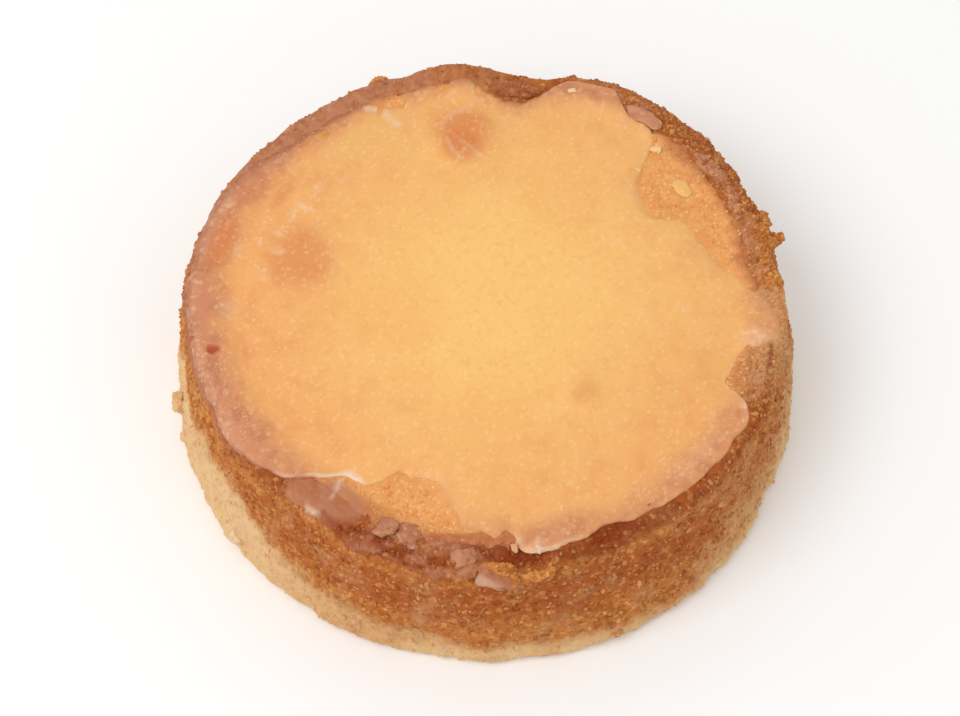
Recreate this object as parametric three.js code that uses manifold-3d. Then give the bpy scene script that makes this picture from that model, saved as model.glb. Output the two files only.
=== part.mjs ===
/**
 * An individual lemon tart: a sandy shortcrust case, browned at the rim and pale at the foot, a baked lemon filling,
 * and a thin lemon glaze set over both, with ragged edges where it has chipped off the crust.
 *
 * Millimetres, +Z up. The origin is the middle of the underside, +X is to the right and +Y to the back as the tart is
 * seen from its chipped side. Angles are in degrees, anticlockwise from +X as seen from above.
 */
import * as THREE from "three";
import { mergeVertices } from "three/addons/utils/BufferGeometryUtils.js";
import Module from "manifold-3d";

// The crust's mean profile.
const RIM_HEIGHT = 20.4;
const SHOULDER_HEIGHT = 19.2; // where the wall turns in to the darker bevel of the rim
const SHOULDER_RADIUS = 40.2;
const BELLY_RADIUS = 41.8;
const BELLY_HEIGHT = 10;
const FOOT_RADIUS = 43.2;
const FOOT_CORNER = 1.6; // rounding of the bottom edge
const RIM_WIDTH = 2.8; // flat top of the crust, inside its bevel
const BEVEL = 1.2; // the bevel's reach inwards from the shoulder
const INNER_RADIUS = SHOULDER_RADIUS - BEVEL - RIM_WIDTH;
const INNER_EDGE = 0.4; // rounding of the rim's inner edge
const FLOOR = 4;

// The filling and the glaze.
const FILLING_HEIGHT = 19.5; // where the filling meets the crust
const DOME = 0.8; // how far its middle stands above that
const MENISCUS = 3; // width of the strip in which the filling climbs to the rim
const GLAZE_RADIUS = 38.9;
const GLAZE_THICKNESS = 0.7;
const GLAZE_EDGE = 0.4; // thickness left at its ragged edge
const GLAZE_TAPER = 0.8; // share of its reach at which the glaze begins to thin
const GAP = 0.3; // between pieces that touch

// Lobes of the hand-pressed outline: how many go round, how deep they are, and where one has its crest.
const RIM_WAVES = [
  { lobes: 2, depth: 0.13, crest: -32.7 },
  { lobes: 3, depth: 0.33, crest: 46.8 },
  { lobes: 4, depth: 0.1, crest: -35.8 },
  { lobes: 5, depth: 0.13, crest: -25.7 },
];
const FOOT_WAVES = [
  { lobes: 2, depth: 0.45, crest: 80.9 },
  { lobes: 3, depth: 0.28, crest: 39.4 },
  { lobes: 4, depth: 0.21, crest: 39.2 },
];

// Where the rim is pressed in, or bulges out if the size is below zero: middle, spread and depth.
const RIM_DENTS = [
  { at: 10, spread: 3, size: 0.8 },
  { at: 31, spread: 6, size: 0.4 },
  { at: 82, spread: 8.5, size: 1.3 },
  { at: 235, spread: 8, size: 0.9 },
  { at: 262, spread: 9, size: -0.5 },
  { at: 287, spread: 9, size: 0.9 },
  { at: 303, spread: 6, size: 0.4 },
];
// Where the rim's inner edge is folded in over the filling.
const RIM_FOLDS = [{ at: 84, spread: 7, size: 1.4 }];
// Where the rim rises or sinks.
const RIM_LIFTS = [
  { at: 97, spread: 9, size: 0.9 },
  { at: 80, spread: 8, size: -0.8 },
  { at: 64, spread: 8, size: 0.4 },
  { at: 112, spread: 7, size: 0.4 },
  { at: 128, spread: 10, size: -0.3 },
];
// Where the glaze stops short of the rim: middle, spread and depth of the bare bay.
const GLAZE_BAYS = [
  { at: 4, spread: 6, size: 4.2 },
  { at: 19, spread: 9, size: 7.3 },
  { at: 37.5, spread: 10.5, size: 12 },
  { at: 84, spread: 8, size: 3.4 },
  { at: 105, spread: 13, size: 2.2 },
  { at: 130, spread: 14, size: 2.2 },
  { at: 235, spread: 8, size: 3.3 },
  { at: 259, spread: 14, size: 8.4 },
  { at: 342, spread: 7, size: 4.8 },
];
// Blisters in the filling: place on the top, reach and height.
const BLISTERS = [
  { at: 97, from: 26.5, reach: 5, size: 0.6 },
  { at: 168, from: 26.4, reach: 6, size: 0.5 },
  { at: 311, from: 19.5, reach: 3.5, size: 0.3 },
];

// Crumbs and flakes stuck to the crust: place, size along the wall, up and out, and how far they are turned.
const CRUMBS = {
  crumbLeft: { at: 187, height: 6.4, out: 0.7, size: [1.4, 1.6, 1.1], turn: 20 },
  crumbLeftLow: { at: 194, height: 4, out: 0.2, size: [0.9, 0.8, 0.8], turn: 0 },
  crumbFoot: { at: 217.5, height: 3, out: -0.1, size: [2, 1.5, 1.3], turn: 35 },
  crumbBack: { at: 111.5, height: 19.7, out: -0.1, size: [1.5, 0.8, 1], turn: 0 },
  crumbRight: { at: 19.5, height: 19.4, out: 0, size: [1.2, 1, 1.1], turn: 10 },
  spikeRight: { at: 14.5, height: 19, out: 0.8, size: [0.9, 0.7, 1.3], turn: -20 },
  crumbFront: { at: 293, height: 2.2, out: -0.1, size: [1, 0.9, 0.9], turn: 0 },
  foldBack: { at: 84, height: 20, out: -2.8, size: [3.9, 1, 1.4], turn: 0 },
  chipFront: { at: 265, height: 20.4, out: -1.8, size: [1.8, 0.6, 1.2], turn: 0 },
  flakeFront: { at: 272, height: 18.9, out: 0.1, size: [2.9, 1.1, 1.5], turn: -14 },
  clusterFront: { at: 278.3, height: 17.9, out: 0.1, size: [2.2, 1, 1.1], turn: 8 },
};
const CRUMB_ROUGHNESS = 0.3; // share of a crumb's size by which its corners vary
const CRUMB_LUMPS = 2; // lumps to each half of a crumb
// Relief of the crust's wall: how far apart its crags are, and how deep.
const CRAGS = [
  { pitch: 5.5, depth: 0.4 },
  { pitch: 2.4, depth: 0.3 },
];

const SEGMENTS = 120;
const WALL_RINGS = 7;
const FILLING_RINGS = [1, 0.93, 0.8, 0.6, 0.35]; // shares of the inner wall's radius
const GLAZE_RINGS = [0.35, 0.65, 0.85, 0.91, 0.96, 1]; // shares of the glaze's reach
const ARC_MIDDLE = 1 - Math.SQRT1_2; // how far a quarter arc's middle is from its sides, for a radius of 1
const CRUST_COLOUR = "#b9742f";
const FILLING_COLOUR = "#eeb055";
const GLAZE_COLOUR = "#f2c173";

const { cos, sin, hypot, exp, floor } = Math;
const radians = THREE.MathUtils.degToRad;
const { lerp, smoothstep } = THREE.MathUtils;
const wasm = await Module();
wasm.setup();

/** The sum of some lobed waves at an angle. */
function waveAt(waves, angle) {
  return waves.reduce((sum, w) => sum + w.depth * cos(w.lobes * radians(angle - w.crest)), 0);
}

/** The sum of some bell-shaped bumps at an angle; a power of 2 gives a round bump and of 4 a flat-bottomed one. */
function bumpsAt(bumps, angle, power = 2) {
  return bumps.reduce((sum, b) => {
    const away = Math.abs(THREE.MathUtils.euclideanModulo(angle - b.at + 180, 360) - 180) / b.spread;
    return sum + b.size * exp(-(away ** power));
  }, 0);
}

/** A repeatable number from 0 to 1 for a point with whole-number coordinates. */
function lattice(i, j, k) {
  let h = Math.imul(i, 374761393) ^ Math.imul(j, 668265263) ^ Math.imul(k, 1274126177);
  h = Math.imul(h ^ (h >>> 13), 1103515245);
  return ((h ^ (h >>> 16)) >>> 0) / 4294967296;
}

/** Smooth noise from -1 to 1, whose bumps are one unit apart. */
function noise(x, y, z) {
  const [i, j, k] = [floor(x), floor(y), floor(z)];
  const [u, v, w] = [smoothstep(x - i, 0, 1), smoothstep(y - j, 0, 1), smoothstep(z - k, 0, 1)];
  const edge = (dj, dk) => lerp(lattice(i, j + dj, k + dk), lattice(i + 1, j + dj, k + dk), u);
  const face = (dk) => lerp(edge(0, dk), edge(1, dk), v);
  return 2 * lerp(face(0), face(1), w) - 1;
}

/** How far the rim's outline stands out of a true circle at an angle. */
function rimOutlineAt(angle) {
  return waveAt(RIM_WAVES, angle) - bumpsAt(RIM_DENTS, angle);
}

/** How far the wall's outline stands out of a true circle at an angle and a height. */
function outlineAt(angle, height) {
  return lerp(waveAt(FOOT_WAVES, angle), rimOutlineAt(angle), smoothstep(height, 0, RIM_HEIGHT));
}

/** The radius of the crust's inner wall at an angle. */
function innerRadiusAt(angle) {
  return INNER_RADIUS + rimOutlineAt(angle) - bumpsAt(RIM_FOLDS, angle);
}

/** The height of the rim's flat top at an angle. */
function rimHeightAt(angle) {
  return RIM_HEIGHT + bumpsAt(RIM_LIFTS, angle);
}

/** The height of the surface that the glaze lies on: the filling, climbing to the rim, and then the rim itself. */
function bedHeightAt(radius, angle) {
  const inner = innerRadiusAt(angle);
  const [x, y] = [radius * cos(radians(angle)), radius * sin(radians(angle))];
  const blisters = BLISTERS.reduce((sum, b) => {
    const away = hypot(x - b.from * cos(radians(b.at)), y - b.from * sin(radians(b.at)));
    return sum + b.size * exp(-((away / b.reach) ** 2));
  }, 0);
  const filling = FILLING_HEIGHT + DOME * (1 - (radius / inner) ** 2) + blisters;
  return lerp(filling, rimHeightAt(angle), smoothstep(radius, inner - MENISCUS, inner));
}

/** Turns a [radius, height] profile about Z and hands each point's radius, height and angle to a shaping function. */
function turned(profile, shape) {
  const points = profile.map(([radius, height]) => new THREE.Vector2(radius, height));
  const geometry = new THREE.LatheGeometry(points, SEGMENTS);
  geometry.rotateX(radians(90));
  geometry.deleteAttribute("normal");
  geometry.deleteAttribute("uv");
  const merged = mergeVertices(geometry, 1e-3);
  const position = merged.getAttribute("position");
  for (let n = 0; n < position.count; n += 1) {
    const [x, y] = [position.getX(n), position.getY(n)];
    const angle = THREE.MathUtils.radToDeg(Math.atan2(y, x));
    const [radius, height] = shape(hypot(x, y), position.getZ(n), angle);
    position.setXYZ(n, radius * cos(radians(angle)), radius * sin(radians(angle)), height);
  }
  return merged;
}

/** A closed geometry as a solid that can be joined. */
function solidOf(geometry) {
  const merged = mergeVertices(geometry, 1e-3);
  return new wasm.Manifold(
    new wasm.Mesh({
      numProp: 3,
      vertProperties: new Float32Array(merged.getAttribute("position").array),
      triVerts: new Uint32Array(merged.index.array),
    }),
  );
}

/** A solid as a geometry. */
function geometryOf(solid) {
  const mesh = solid.getMesh();
  const geometry = new THREE.BufferGeometry();
  geometry.setAttribute("position", new THREE.BufferAttribute(new Float32Array(mesh.vertProperties), 3));
  geometry.setIndex(new THREE.BufferAttribute(new Uint32Array(mesh.triVerts), 1));
  geometry.computeVertexNormals();
  return geometry;
}

/** The case's profile, from the middle of the underside, up the wall, over the rim and down to the floor inside. */
function caseProfile() {
  const wall = new THREE.CatmullRomCurve3([
    new THREE.Vector3(FOOT_RADIUS, FOOT_CORNER),
    new THREE.Vector3(BELLY_RADIUS, BELLY_HEIGHT),
    new THREE.Vector3(SHOULDER_RADIUS, SHOULDER_HEIGHT),
  ]);
  return [
    [0, 0],
    [FOOT_RADIUS / 2, 0],
    [FOOT_RADIUS - FOOT_CORNER, 0],
    [FOOT_RADIUS - FOOT_CORNER * ARC_MIDDLE, FOOT_CORNER * ARC_MIDDLE],
    ...wall.getSpacedPoints(WALL_RINGS).map((p) => [p.x, p.y]),
    [SHOULDER_RADIUS - BEVEL * ARC_MIDDLE, lerp(RIM_HEIGHT, SHOULDER_HEIGHT, ARC_MIDDLE)],
    [SHOULDER_RADIUS - BEVEL, RIM_HEIGHT],
    [INNER_RADIUS + INNER_EDGE, RIM_HEIGHT],
    [INNER_RADIUS, RIM_HEIGHT - INNER_EDGE],
    [INNER_RADIUS, RIM_HEIGHT / 2],
    [INNER_RADIUS, FLOOR],
    [INNER_RADIUS / 2, FLOOR],
    [0, FLOOR],
  ];
}

/** The relief of the crust at a point. */
function cragAt(x, y, z) {
  return CRAGS.reduce((sum, { pitch, depth }) => sum + depth * noise(x / pitch, y / pitch, z / pitch), 0);
}

/** Gives the case its pressed outline, wavy rim and crags. */
function shapeCase(radius, height, angle) {
  if (radius <= INNER_RADIUS + 1e-3 && height > 0) {
    const lift = height > FLOOR ? smoothstep(height, SHOULDER_HEIGHT, RIM_HEIGHT) : 0;
    return [(innerRadiusAt(angle) * radius) / INNER_RADIUS, height + bumpsAt(RIM_LIFTS, angle) * lift];
  }
  const edge = smoothstep(radius, INNER_RADIUS, SHOULDER_RADIUS - BEVEL);
  const [x, y] = [radius * cos(radians(angle)), radius * sin(radians(angle))];
  const crag = height > 0 ? cragAt(x, y, height) * edge : 0;
  const out = (outlineAt(angle, height) + crag) * Math.min(1, radius / INNER_RADIUS);
  const lift = smoothstep(height, BELLY_HEIGHT, RIM_HEIGHT) ** 2;
  return [radius + out, height + bumpsAt(RIM_LIFTS, angle) * lift];
}

/** A lumpy crumb or flake of pastry, set against the case's wall. */
function crumbSolid({ at, height, out, size, turn }) {
  const geometry = new THREE.IcosahedronGeometry(1, 1);
  geometry.deleteAttribute("normal");
  geometry.deleteAttribute("uv");
  const position = geometry.getAttribute("position");
  for (let n = 0; n < position.count; n += 1) {
    const point = new THREE.Vector3().fromBufferAttribute(position, n);
    const lump = point.clone().multiplyScalar(CRUMB_LUMPS);
    const grown = 1 + CRUMB_ROUGHNESS * noise(lump.x + at, lump.y, lump.z);
    position.setXYZ(n, point.x * grown * size[0], point.y * grown * size[2], point.z * grown * size[1]);
  }
  const rise = height / SHOULDER_HEIGHT;
  const wall = lerp(FOOT_RADIUS, SHOULDER_RADIUS, rise) + outlineAt(at, height) + out;
  geometry.rotateY(radians(turn));
  geometry.rotateZ(radians(at - 90));
  geometry.translate(wall * cos(radians(at)), wall * sin(radians(at)), height);
  return solidOf(geometry);
}

/** The pastry case: a pressed cup with its crumbs and flakes joined on. */
function pastryCase() {
  const shell = solidOf(turned(caseProfile(), shapeCase));
  return geometryOf(Object.values(CRUMBS).map(crumbSolid).reduce((whole, crumb) => whole.add(crumb), shell));
}

/** The lemon filling: a plug that fills the case and domes a little between its walls. */
function lemonFilling() {
  const over = FILLING_RINGS.map((share) => [share, RIM_HEIGHT]);
  const profile = [[0, FLOOR], [1, FLOOR], ...over, [0, RIM_HEIGHT]];
  return turned(profile, (share, height, angle) => {
    const radius = share * (innerRadiusAt(angle) - GAP);
    const top = Math.min(bedHeightAt(radius, angle), rimHeightAt(angle) - GAP);
    return [radius, height > FLOOR ? top : FLOOR + GAP];
  });
}

/** The lemon glaze: a thin skin over the filling and the rim, cut back in bare bays. */
function lemonGlaze() {
  const under = [[0, 0], ...GLAZE_RINGS.map((share) => [share, 0])];
  const over = [...GLAZE_RINGS.toReversed().map((share) => [share, 1]), [0, 1]];
  return turned([...under, ...over], (share, side, angle) => {
    const reach = GLAZE_RADIUS + rimOutlineAt(angle) - bumpsAt(GLAZE_BAYS, angle, 4);
    const thickness = lerp(GLAZE_THICKNESS, GLAZE_EDGE, smoothstep(share, GLAZE_TAPER, 1));
    return [share * reach, bedHeightAt(share * reach, angle) + GAP + side * thickness];
  });
}

/** A named mesh with a material of one colour. */
function meshOf(name, geometry, colour, roughness) {
  const material = new THREE.MeshStandardMaterial({ color: colour, roughness, metalness: 0 });
  const mesh = new THREE.Mesh(geometry, material);
  mesh.name = name;
  return mesh;
}

const tart = new THREE.Group();
tart.add(meshOf("pastry_case", pastryCase(), CRUST_COLOUR, 0.85));
tart.add(meshOf("lemon_filling", lemonFilling(), FILLING_COLOUR, 0.6));
tart.add(meshOf("lemon_glaze", lemonGlaze(), GLAZE_COLOUR, 0.35));

export default tart;
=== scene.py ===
"""A small lemon tart: sandy shortcrust, a baked lemon filling and a set lemon glaze, under soft daylight.

Sizes are millimetres, which new_object() turns to metres. Angles are degrees, anticlockwise from +X as seen
from above. The origin is the middle of the underside, +Z is up, and the chipped side of the rim faces -Y.
"""

from __future__ import annotations

import logging
from dataclasses import dataclass, replace
from enum import Enum
from itertools import combinations

import bpy
import numpy as np
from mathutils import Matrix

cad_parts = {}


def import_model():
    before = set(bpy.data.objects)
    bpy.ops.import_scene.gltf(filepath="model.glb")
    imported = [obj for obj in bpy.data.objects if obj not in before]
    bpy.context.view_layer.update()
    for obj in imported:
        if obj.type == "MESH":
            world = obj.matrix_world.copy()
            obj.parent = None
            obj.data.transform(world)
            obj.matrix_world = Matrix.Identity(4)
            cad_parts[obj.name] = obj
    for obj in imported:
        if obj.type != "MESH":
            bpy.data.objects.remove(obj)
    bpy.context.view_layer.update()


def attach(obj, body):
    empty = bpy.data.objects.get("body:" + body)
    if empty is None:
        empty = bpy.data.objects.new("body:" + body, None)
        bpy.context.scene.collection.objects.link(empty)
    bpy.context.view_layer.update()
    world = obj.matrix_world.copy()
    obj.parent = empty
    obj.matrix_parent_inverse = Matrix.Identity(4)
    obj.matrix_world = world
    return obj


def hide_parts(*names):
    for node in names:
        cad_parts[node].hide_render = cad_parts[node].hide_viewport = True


MM = 0.001
BODY = "root"
LOG = logging.getLogger("lemon_tart")

# How flat-topped a bump is: the power in its formula.
BELL = 2.0
FLAT = 4.0
BOX = 6.0

# Odd multipliers that mix a whole number's digits: one for each axis, and one for the last mixing.
AXIS_MIX = (374761393, 668265263, 1274126177)
LAST_MIX = 1103515245

Array = np.ndarray

# The least and the most of something, or where a smooth step starts and where it is full.
Limits = tuple[float, float]


# ------------------------ Shapes in numbers


def unit(value: Array) -> Array:
    """The value, held between 0 and 1."""
    return np.clip(value, 0.0, 1.0)


def ease(value: Array, start: float | Array, end: float | Array) -> Array:
    """A smooth step: 0 before start and 1 past end, by 3 x squared less 2 x cubed between them."""
    share = unit((value - start) / (end - start))
    return share * share * (3.0 - 2.0 * share)


def ramp(value: Array, base: float | Array, limits: Limits) -> Array:
    """A smooth step between two limits, which are counted from a base."""
    return ease(value, base + limits[0], base + limits[1])


def blend(low: Array | float, high: Array | float, share: Array) -> Array:
    """Goes straight from low to high as share goes from 0 to 1."""
    return low + (high - low) * share


def crest(value: Array, middle: float | Array, width: float | Array) -> Array:
    """A bell across a line: e to minus the square of the distance from the middle over the width."""
    return np.exp(-(((value - middle) / width) ** 2))


def away(angle: Array, at: float) -> Array:
    """The distance between two angles, the short way round."""
    return np.abs((angle - at + 180.0) % 360.0 - 180.0)


def lattice(cell: Array) -> Array:
    """A repeatable number from 0 to 1 for each point with whole-number coordinates.

    Args:
        cell: The coordinates, the last axis x, y and z.

    Returns:
        The numbers.
    """
    x, y, z = (cell[..., axis].astype(np.uint32) * np.uint32(AXIS_MIX[axis]) for axis in range(3))
    mixed = x ^ y ^ z
    mixed = (mixed ^ (mixed >> np.uint32(13))) * np.uint32(LAST_MIX)
    return (mixed ^ (mixed >> np.uint32(16))) / 2.0**32


def noise(points: Array) -> Array:
    """Smooth noise from -1 to 1 with bumps one unit apart: the lattice's numbers, blended by eased shares.

    Args:
        points: Places in space, the last axis x, y and z.

    Returns:
        The noise at each place.
    """
    cell = np.floor(points)
    share = points - cell
    share = share * share * (3.0 - 2.0 * share)
    cell = cell.astype(np.int64)
    total = np.zeros(points.shape[:-1])
    for corner in range(8):
        step = (corner & 1, corner >> 1 & 1, corner >> 2 & 1)
        weight = np.ones(points.shape[:-1])
        for axis in range(3):
            weight = weight * (share[..., axis] if step[axis] else 1.0 - share[..., axis])
        total += weight * lattice(cell + np.array(step))
    return 2.0 * total - 1.0


@dataclass(frozen=True)
class Waves:
    """Lobed waves round the outline: each one's lobes, their depth, and where one of them has its crest."""

    parts: tuple[tuple[int, float, float], ...]

    def at(self, angle: Array) -> Array:
        """Their sum, each its depth times the cosine of lobes times the angle from the crest."""
        return sum(depth * np.cos(lobes * np.radians(angle - top)) for lobes, depth, top in self.parts)


@dataclass(frozen=True)
class Bumps:
    """Bumps round the outline: the middle, spread and size of each, and how flat-topped they are."""

    parts: tuple[tuple[float, float, float], ...]
    power: float = BELL

    def at(self, angle: Array) -> Array:
        """Their sum, each its size times e to minus (distance over spread) to the power."""
        each = ((size, away(angle, middle) / spread) for middle, spread, size in self.parts)
        return sum(size * np.exp(-(distance**self.power)) for size, distance in each)


@dataclass(frozen=True)
class Relief:
    """Layers of noise: how far apart the bumps of each are and how high, and a shift of their own."""

    layers: tuple[tuple[float, float], ...]
    shift: float = 0.0

    def at(self, points: Array) -> Array:
        """The sum of the layers, each its height times the noise at the point over its pitch."""
        return sum(height * noise(points / pitch + self.shift) for pitch, height in self.layers)


@dataclass(frozen=True)
class Patches:
    """Ovals on the top: the angle and radius of each, its half-lengths outwards and round, and strength."""

    parts: tuple[tuple[float, float, float, float, float], ...]

    def at(self, radius: Array, angle: Array) -> Array:
        """Their sum, each its strength times e to minus the fourth power of the distance in half-lengths.

        Args:
            radius: Distance of each point from the middle.
            angle: Angle of each point.

        Returns:
            The strength at each point.
        """
        total = np.zeros(np.broadcast(radius, angle).shape)
        for middle, distance, half_out, half_round, strength in self.parts:
            turn = np.radians(angle - middle)
            out = (radius * np.cos(turn) - distance) / half_out
            along = radius * np.sin(turn) / half_round
            total = total + strength * np.exp(-((out**2 + along**2) ** 2))
        return total


@dataclass(frozen=True)
class Strokes:
    """Thin lines on the top: the radius and angle of the points of each, its half-width and its strength."""

    parts: tuple[tuple[tuple[tuple[float, float], ...], float, float], ...]

    def at(self, radius: Array, angle: Array) -> Array:
        """The strongest, each its strength times e to minus the square of the distance in half-widths.

        Args:
            radius: Distance of each point from the middle.
            angle: Angle of each point.

        Returns:
            The strength at each point.
        """
        x, y = radius * np.cos(np.radians(angle)), radius * np.sin(np.radians(angle))
        total = np.zeros(x.shape)
        for path, width, strength in self.parts:
            corners = np.array([[r * np.cos(np.radians(t)), r * np.sin(np.radians(t))] for r, t in path])
            for start, end in zip(corners[:-1], corners[1:]):
                step = end - start
                share = unit(((x - start[0]) * step[0] + (y - start[1]) * step[1]) / (step @ step))
                distance = np.hypot(x - start[0] - share * step[0], y - start[1] - share * step[1])
                total = np.maximum(total, strength * crest(distance, 0.0, width))
        return total


def on_circle(radius: Array | float, angle: Array | float, height: Array | float) -> Array:
    """Points at a radius, an angle and a height, as x, y and z on the last axis."""
    turn = np.radians(angle)
    return np.stack(np.broadcast_arrays(radius * np.cos(turn), radius * np.sin(turn), height), axis=-1)


def polar(points: Array) -> tuple[Array, Array, Array]:
    """The radius, angle and height of some points."""
    angle = np.degrees(np.arctan2(points[..., 1], points[..., 0])) % 360.0
    return np.hypot(points[..., 0], points[..., 1]), angle, points[..., 2]


def row_normals(radius: Array, height: Array) -> tuple[Array, Array]:
    """The outward normal of a profile that runs from the underside up and over.

    Args:
        radius: The radius of each row.
        height: The height of each row.

    Returns:
        How far the normal goes outwards and upwards at each row.
    """
    along_radius, along_height = np.gradient(radius), np.gradient(height)
    length = np.maximum(np.hypot(along_radius, along_height), 1e-9)
    return along_height / length, -along_radius / length


# ------------------------ Meshes


def tetra_sum(corners: Array) -> float:
    """Six times the volume between some triangles and the origin, more than 0 where they face outwards."""
    return float(np.einsum("ij,ij->i", corners[:, 0], np.cross(corners[:, 1], corners[:, 2])).sum())


def new_object(
    name: str, points: Array, faces: Array, fields: dict[str, Array] | None = None, smooth: bool = True
) -> bpy.types.Object:
    """Makes a mesh object at the origin, its faces turned outwards.

    Args:
        name: The object's name.
        points: Vertices in millimetres, one row each.
        faces: Vertex numbers, one face in a row; a row's last number is -1 where the face is a triangle.
        fields: Named numbers, one for each vertex, that the materials read.
        smooth: Whether it is shaded as a smooth skin or face by face.

    Returns:
        The object, linked to the scene.
    """
    volume = tetra_sum(points[faces[:, :3]])
    if faces.shape[1] == 4:
        quads = faces[faces[:, 3] >= 0]
        volume += tetra_sum(points[quads[:, [0, 2, 3]]])
    if volume < 0.0:
        faces = np.where(faces[:, -1:] >= 0, faces[:, ::-1], np.roll(faces[:, ::-1], -1, axis=1))
    used = faces >= 0
    totals = used.sum(axis=1)
    mesh = bpy.data.meshes.new(name)
    mesh.vertices.add(len(points))
    mesh.vertices.foreach_set("co", (points * MM).astype(np.float32).ravel())
    mesh.loops.add(int(totals.sum()))
    mesh.loops.foreach_set("vertex_index", faces[used].astype(np.int32))
    mesh.polygons.add(len(faces))
    mesh.polygons.foreach_set("loop_start", (np.cumsum(totals) - totals).astype(np.int32))
    mesh.polygons.foreach_set("use_smooth", np.full(len(faces), smooth))
    for key, values in (fields or {}).items():
        layer = mesh.attributes.new(key, "FLOAT", "POINT")
        layer.data.foreach_set("value", np.asarray(values, dtype=np.float32).ravel())
    mesh.update(calc_edges=True)
    mesh.validate()
    piece = bpy.data.objects.new(name, mesh)
    bpy.context.scene.collection.objects.link(piece)
    return piece


def ring_faces(rows: int, columns: int) -> Array:
    """Faces of a closed skin: a point, then rows of rings, then a point.

    Args:
        rows: How many rings there are.
        columns: How many points a ring has.

    Returns:
        Vertex numbers, one face in a row, with -1 at the end of a triangle's row.
    """
    across = np.arange(columns)
    onward = (across + 1) % columns
    start = 1 + columns * np.arange(rows - 1)[:, None]
    corners = (start + across, start + onward, start + columns + onward, start + columns + across)
    quads = np.stack(np.broadcast_arrays(*corners), axis=-1).reshape(-1, 4)
    last = 1 + columns * (rows - 1)
    none = np.full(columns, -1)
    first_fan = np.stack([np.zeros(columns, int), 1 + onward, 1 + across, none], axis=-1)
    last_fan = np.stack([np.full(columns, last + columns), last + across, last + onward, none], axis=-1)
    return np.concatenate([first_fan, quads, last_fan])


def ring_points(grid: Array) -> Array:
    """A grid's points as one list, with its first and last rows, which lie on the axis, as a point each."""
    first, last = grid[:1, :1].mean(axis=1), grid[-1:, :1].mean(axis=1)
    return np.concatenate([first, grid[1:-1].reshape(-1, 3), last])


def ring_values(grid: Array) -> Array:
    """A grid's numbers as one list, in the order of ring_points()."""
    return np.concatenate([grid[:1, 0], grid[1:-1].ravel(), grid[-1:, 0]])


def closed_skins(name: str, grids: list[Array], fields: list[dict[str, Array]]) -> bpy.types.Object:
    """One or more closed skins of the same number of rows and columns as one object.

    Args:
        name: The object's name.
        grids: A grid of rings for each skin, whose first and last rows are poles.
        fields: The fields of each skin, one number for each point of its grid.

    Returns:
        The object.
    """
    rows, columns = grids[0].shape[:2]
    faces = ring_faces(rows - 2, columns)
    points = [ring_points(grid) for grid in grids]
    shifted = [np.where(faces >= 0, faces + n * len(points[0]), -1) for n in range(len(grids))]
    values = {key: np.concatenate([ring_values(each[key]) for each in fields]) for key in fields[0]}
    return new_object(name, np.concatenate(points), np.concatenate(shifted), values)


def icosahedron() -> tuple[Array, Array]:
    """A crumb's twelve corners, one unit from the middle, and its twenty faces, facing outwards.

    Returns:
        The corners, one in a row, and the corner numbers of each face.
    """
    golden = (1.0 + 5.0**0.5) / 2.0
    signs = ((1, 1), (1, -1), (-1, 1), (-1, -1))
    corners = np.array([np.roll([0.0, a, b * golden], turn) for turn in range(3) for a, b in signs])
    gaps = np.linalg.norm(corners[:, None] - corners[None], axis=-1)
    just_over_an_edge = 2.1
    faces = []
    for a, b, c in combinations(range(12), 3):
        if max(gaps[a, b], gaps[b, c], gaps[a, c]) < just_over_an_edge:
            outward = np.cross(corners[b] - corners[a], corners[c] - corners[a]) @ corners[a] > 0.0
            faces.append((a, b, c) if outward else (a, c, b))
    return corners / np.linalg.norm(corners[0]), np.array(faces)


def any_turns(count: int, rng: np.random.Generator) -> Array:
    """Random turns in space, as matrices made from unit quaternions.

    Args:
        count: How many.
        rng: The source of random numbers.

    Returns:
        A three by three matrix for each.
    """
    parts = rng.normal(size=(4, count))
    w, x, y, z = parts / np.linalg.norm(parts, axis=0)
    rows = (
        (1 - 2 * (y * y + z * z), 2 * (x * y - w * z), 2 * (x * z + w * y)),
        (2 * (x * y + w * z), 1 - 2 * (x * x + z * z), 2 * (y * z - w * x)),
        (2 * (x * z - w * y), 2 * (y * z + w * x), 1 - 2 * (x * x + y * y)),
    )
    return np.stack([np.stack(row, axis=-1) for row in rows], axis=-2)


def crumb_crowd(
    name: str, centres: Array, sizes: Array, fields: dict[str, Array], seed: int
) -> bpy.types.Object:
    """Many small crumbs as one object: icosahedra with uneven corners, stretched and turned at random.

    Args:
        name: The object's name.
        centres: The middle of each crumb, in millimetres.
        sizes: The mean radius of each.
        fields: Named numbers, one for each crumb.
        seed: Where the random numbers start.

    Returns:
        The object.
    """
    rng = np.random.default_rng(seed)
    corners, faces = icosahedron()
    count, each = len(centres), len(corners)
    shapes = corners * rng.uniform(0.68, 1.3, (count, each, 1)) * rng.uniform(0.7, 1.25, (count, 1, 3))
    shapes = np.einsum("nij,nkj->nki", any_turns(count, rng), shapes) * sizes[:, None, None]
    points = (centres[:, None, :] + shapes).reshape(-1, 3)
    all_faces = (faces[None] + each * np.arange(count)[:, None, None]).reshape(-1, 3)
    values = {key: np.repeat(value, each) for key, value in fields.items()}
    return new_object(name, points, all_faces, values, smooth=False)


def crumb_sizes(mean: float, count: int, limits: Limits, rng: np.random.Generator) -> Array:
    """Radii spread about a mean, more of them small than large: the mean times e to a random number."""
    return np.clip(mean * np.exp(0.35 * rng.normal(size=count)), *limits)


# ------------------------ Finishes


class Pattern(Enum):
    """What a pattern of colour or relief looks like."""

    CLOUDS = "clouds"
    GRAINS = "grains"
    DOTS = "dots"


@dataclass(frozen=True)
class Veil:
    """A colour over those below it, as strong as a field of the mesh says."""

    field: str
    colour: str
    strength: float = 1.0


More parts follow.
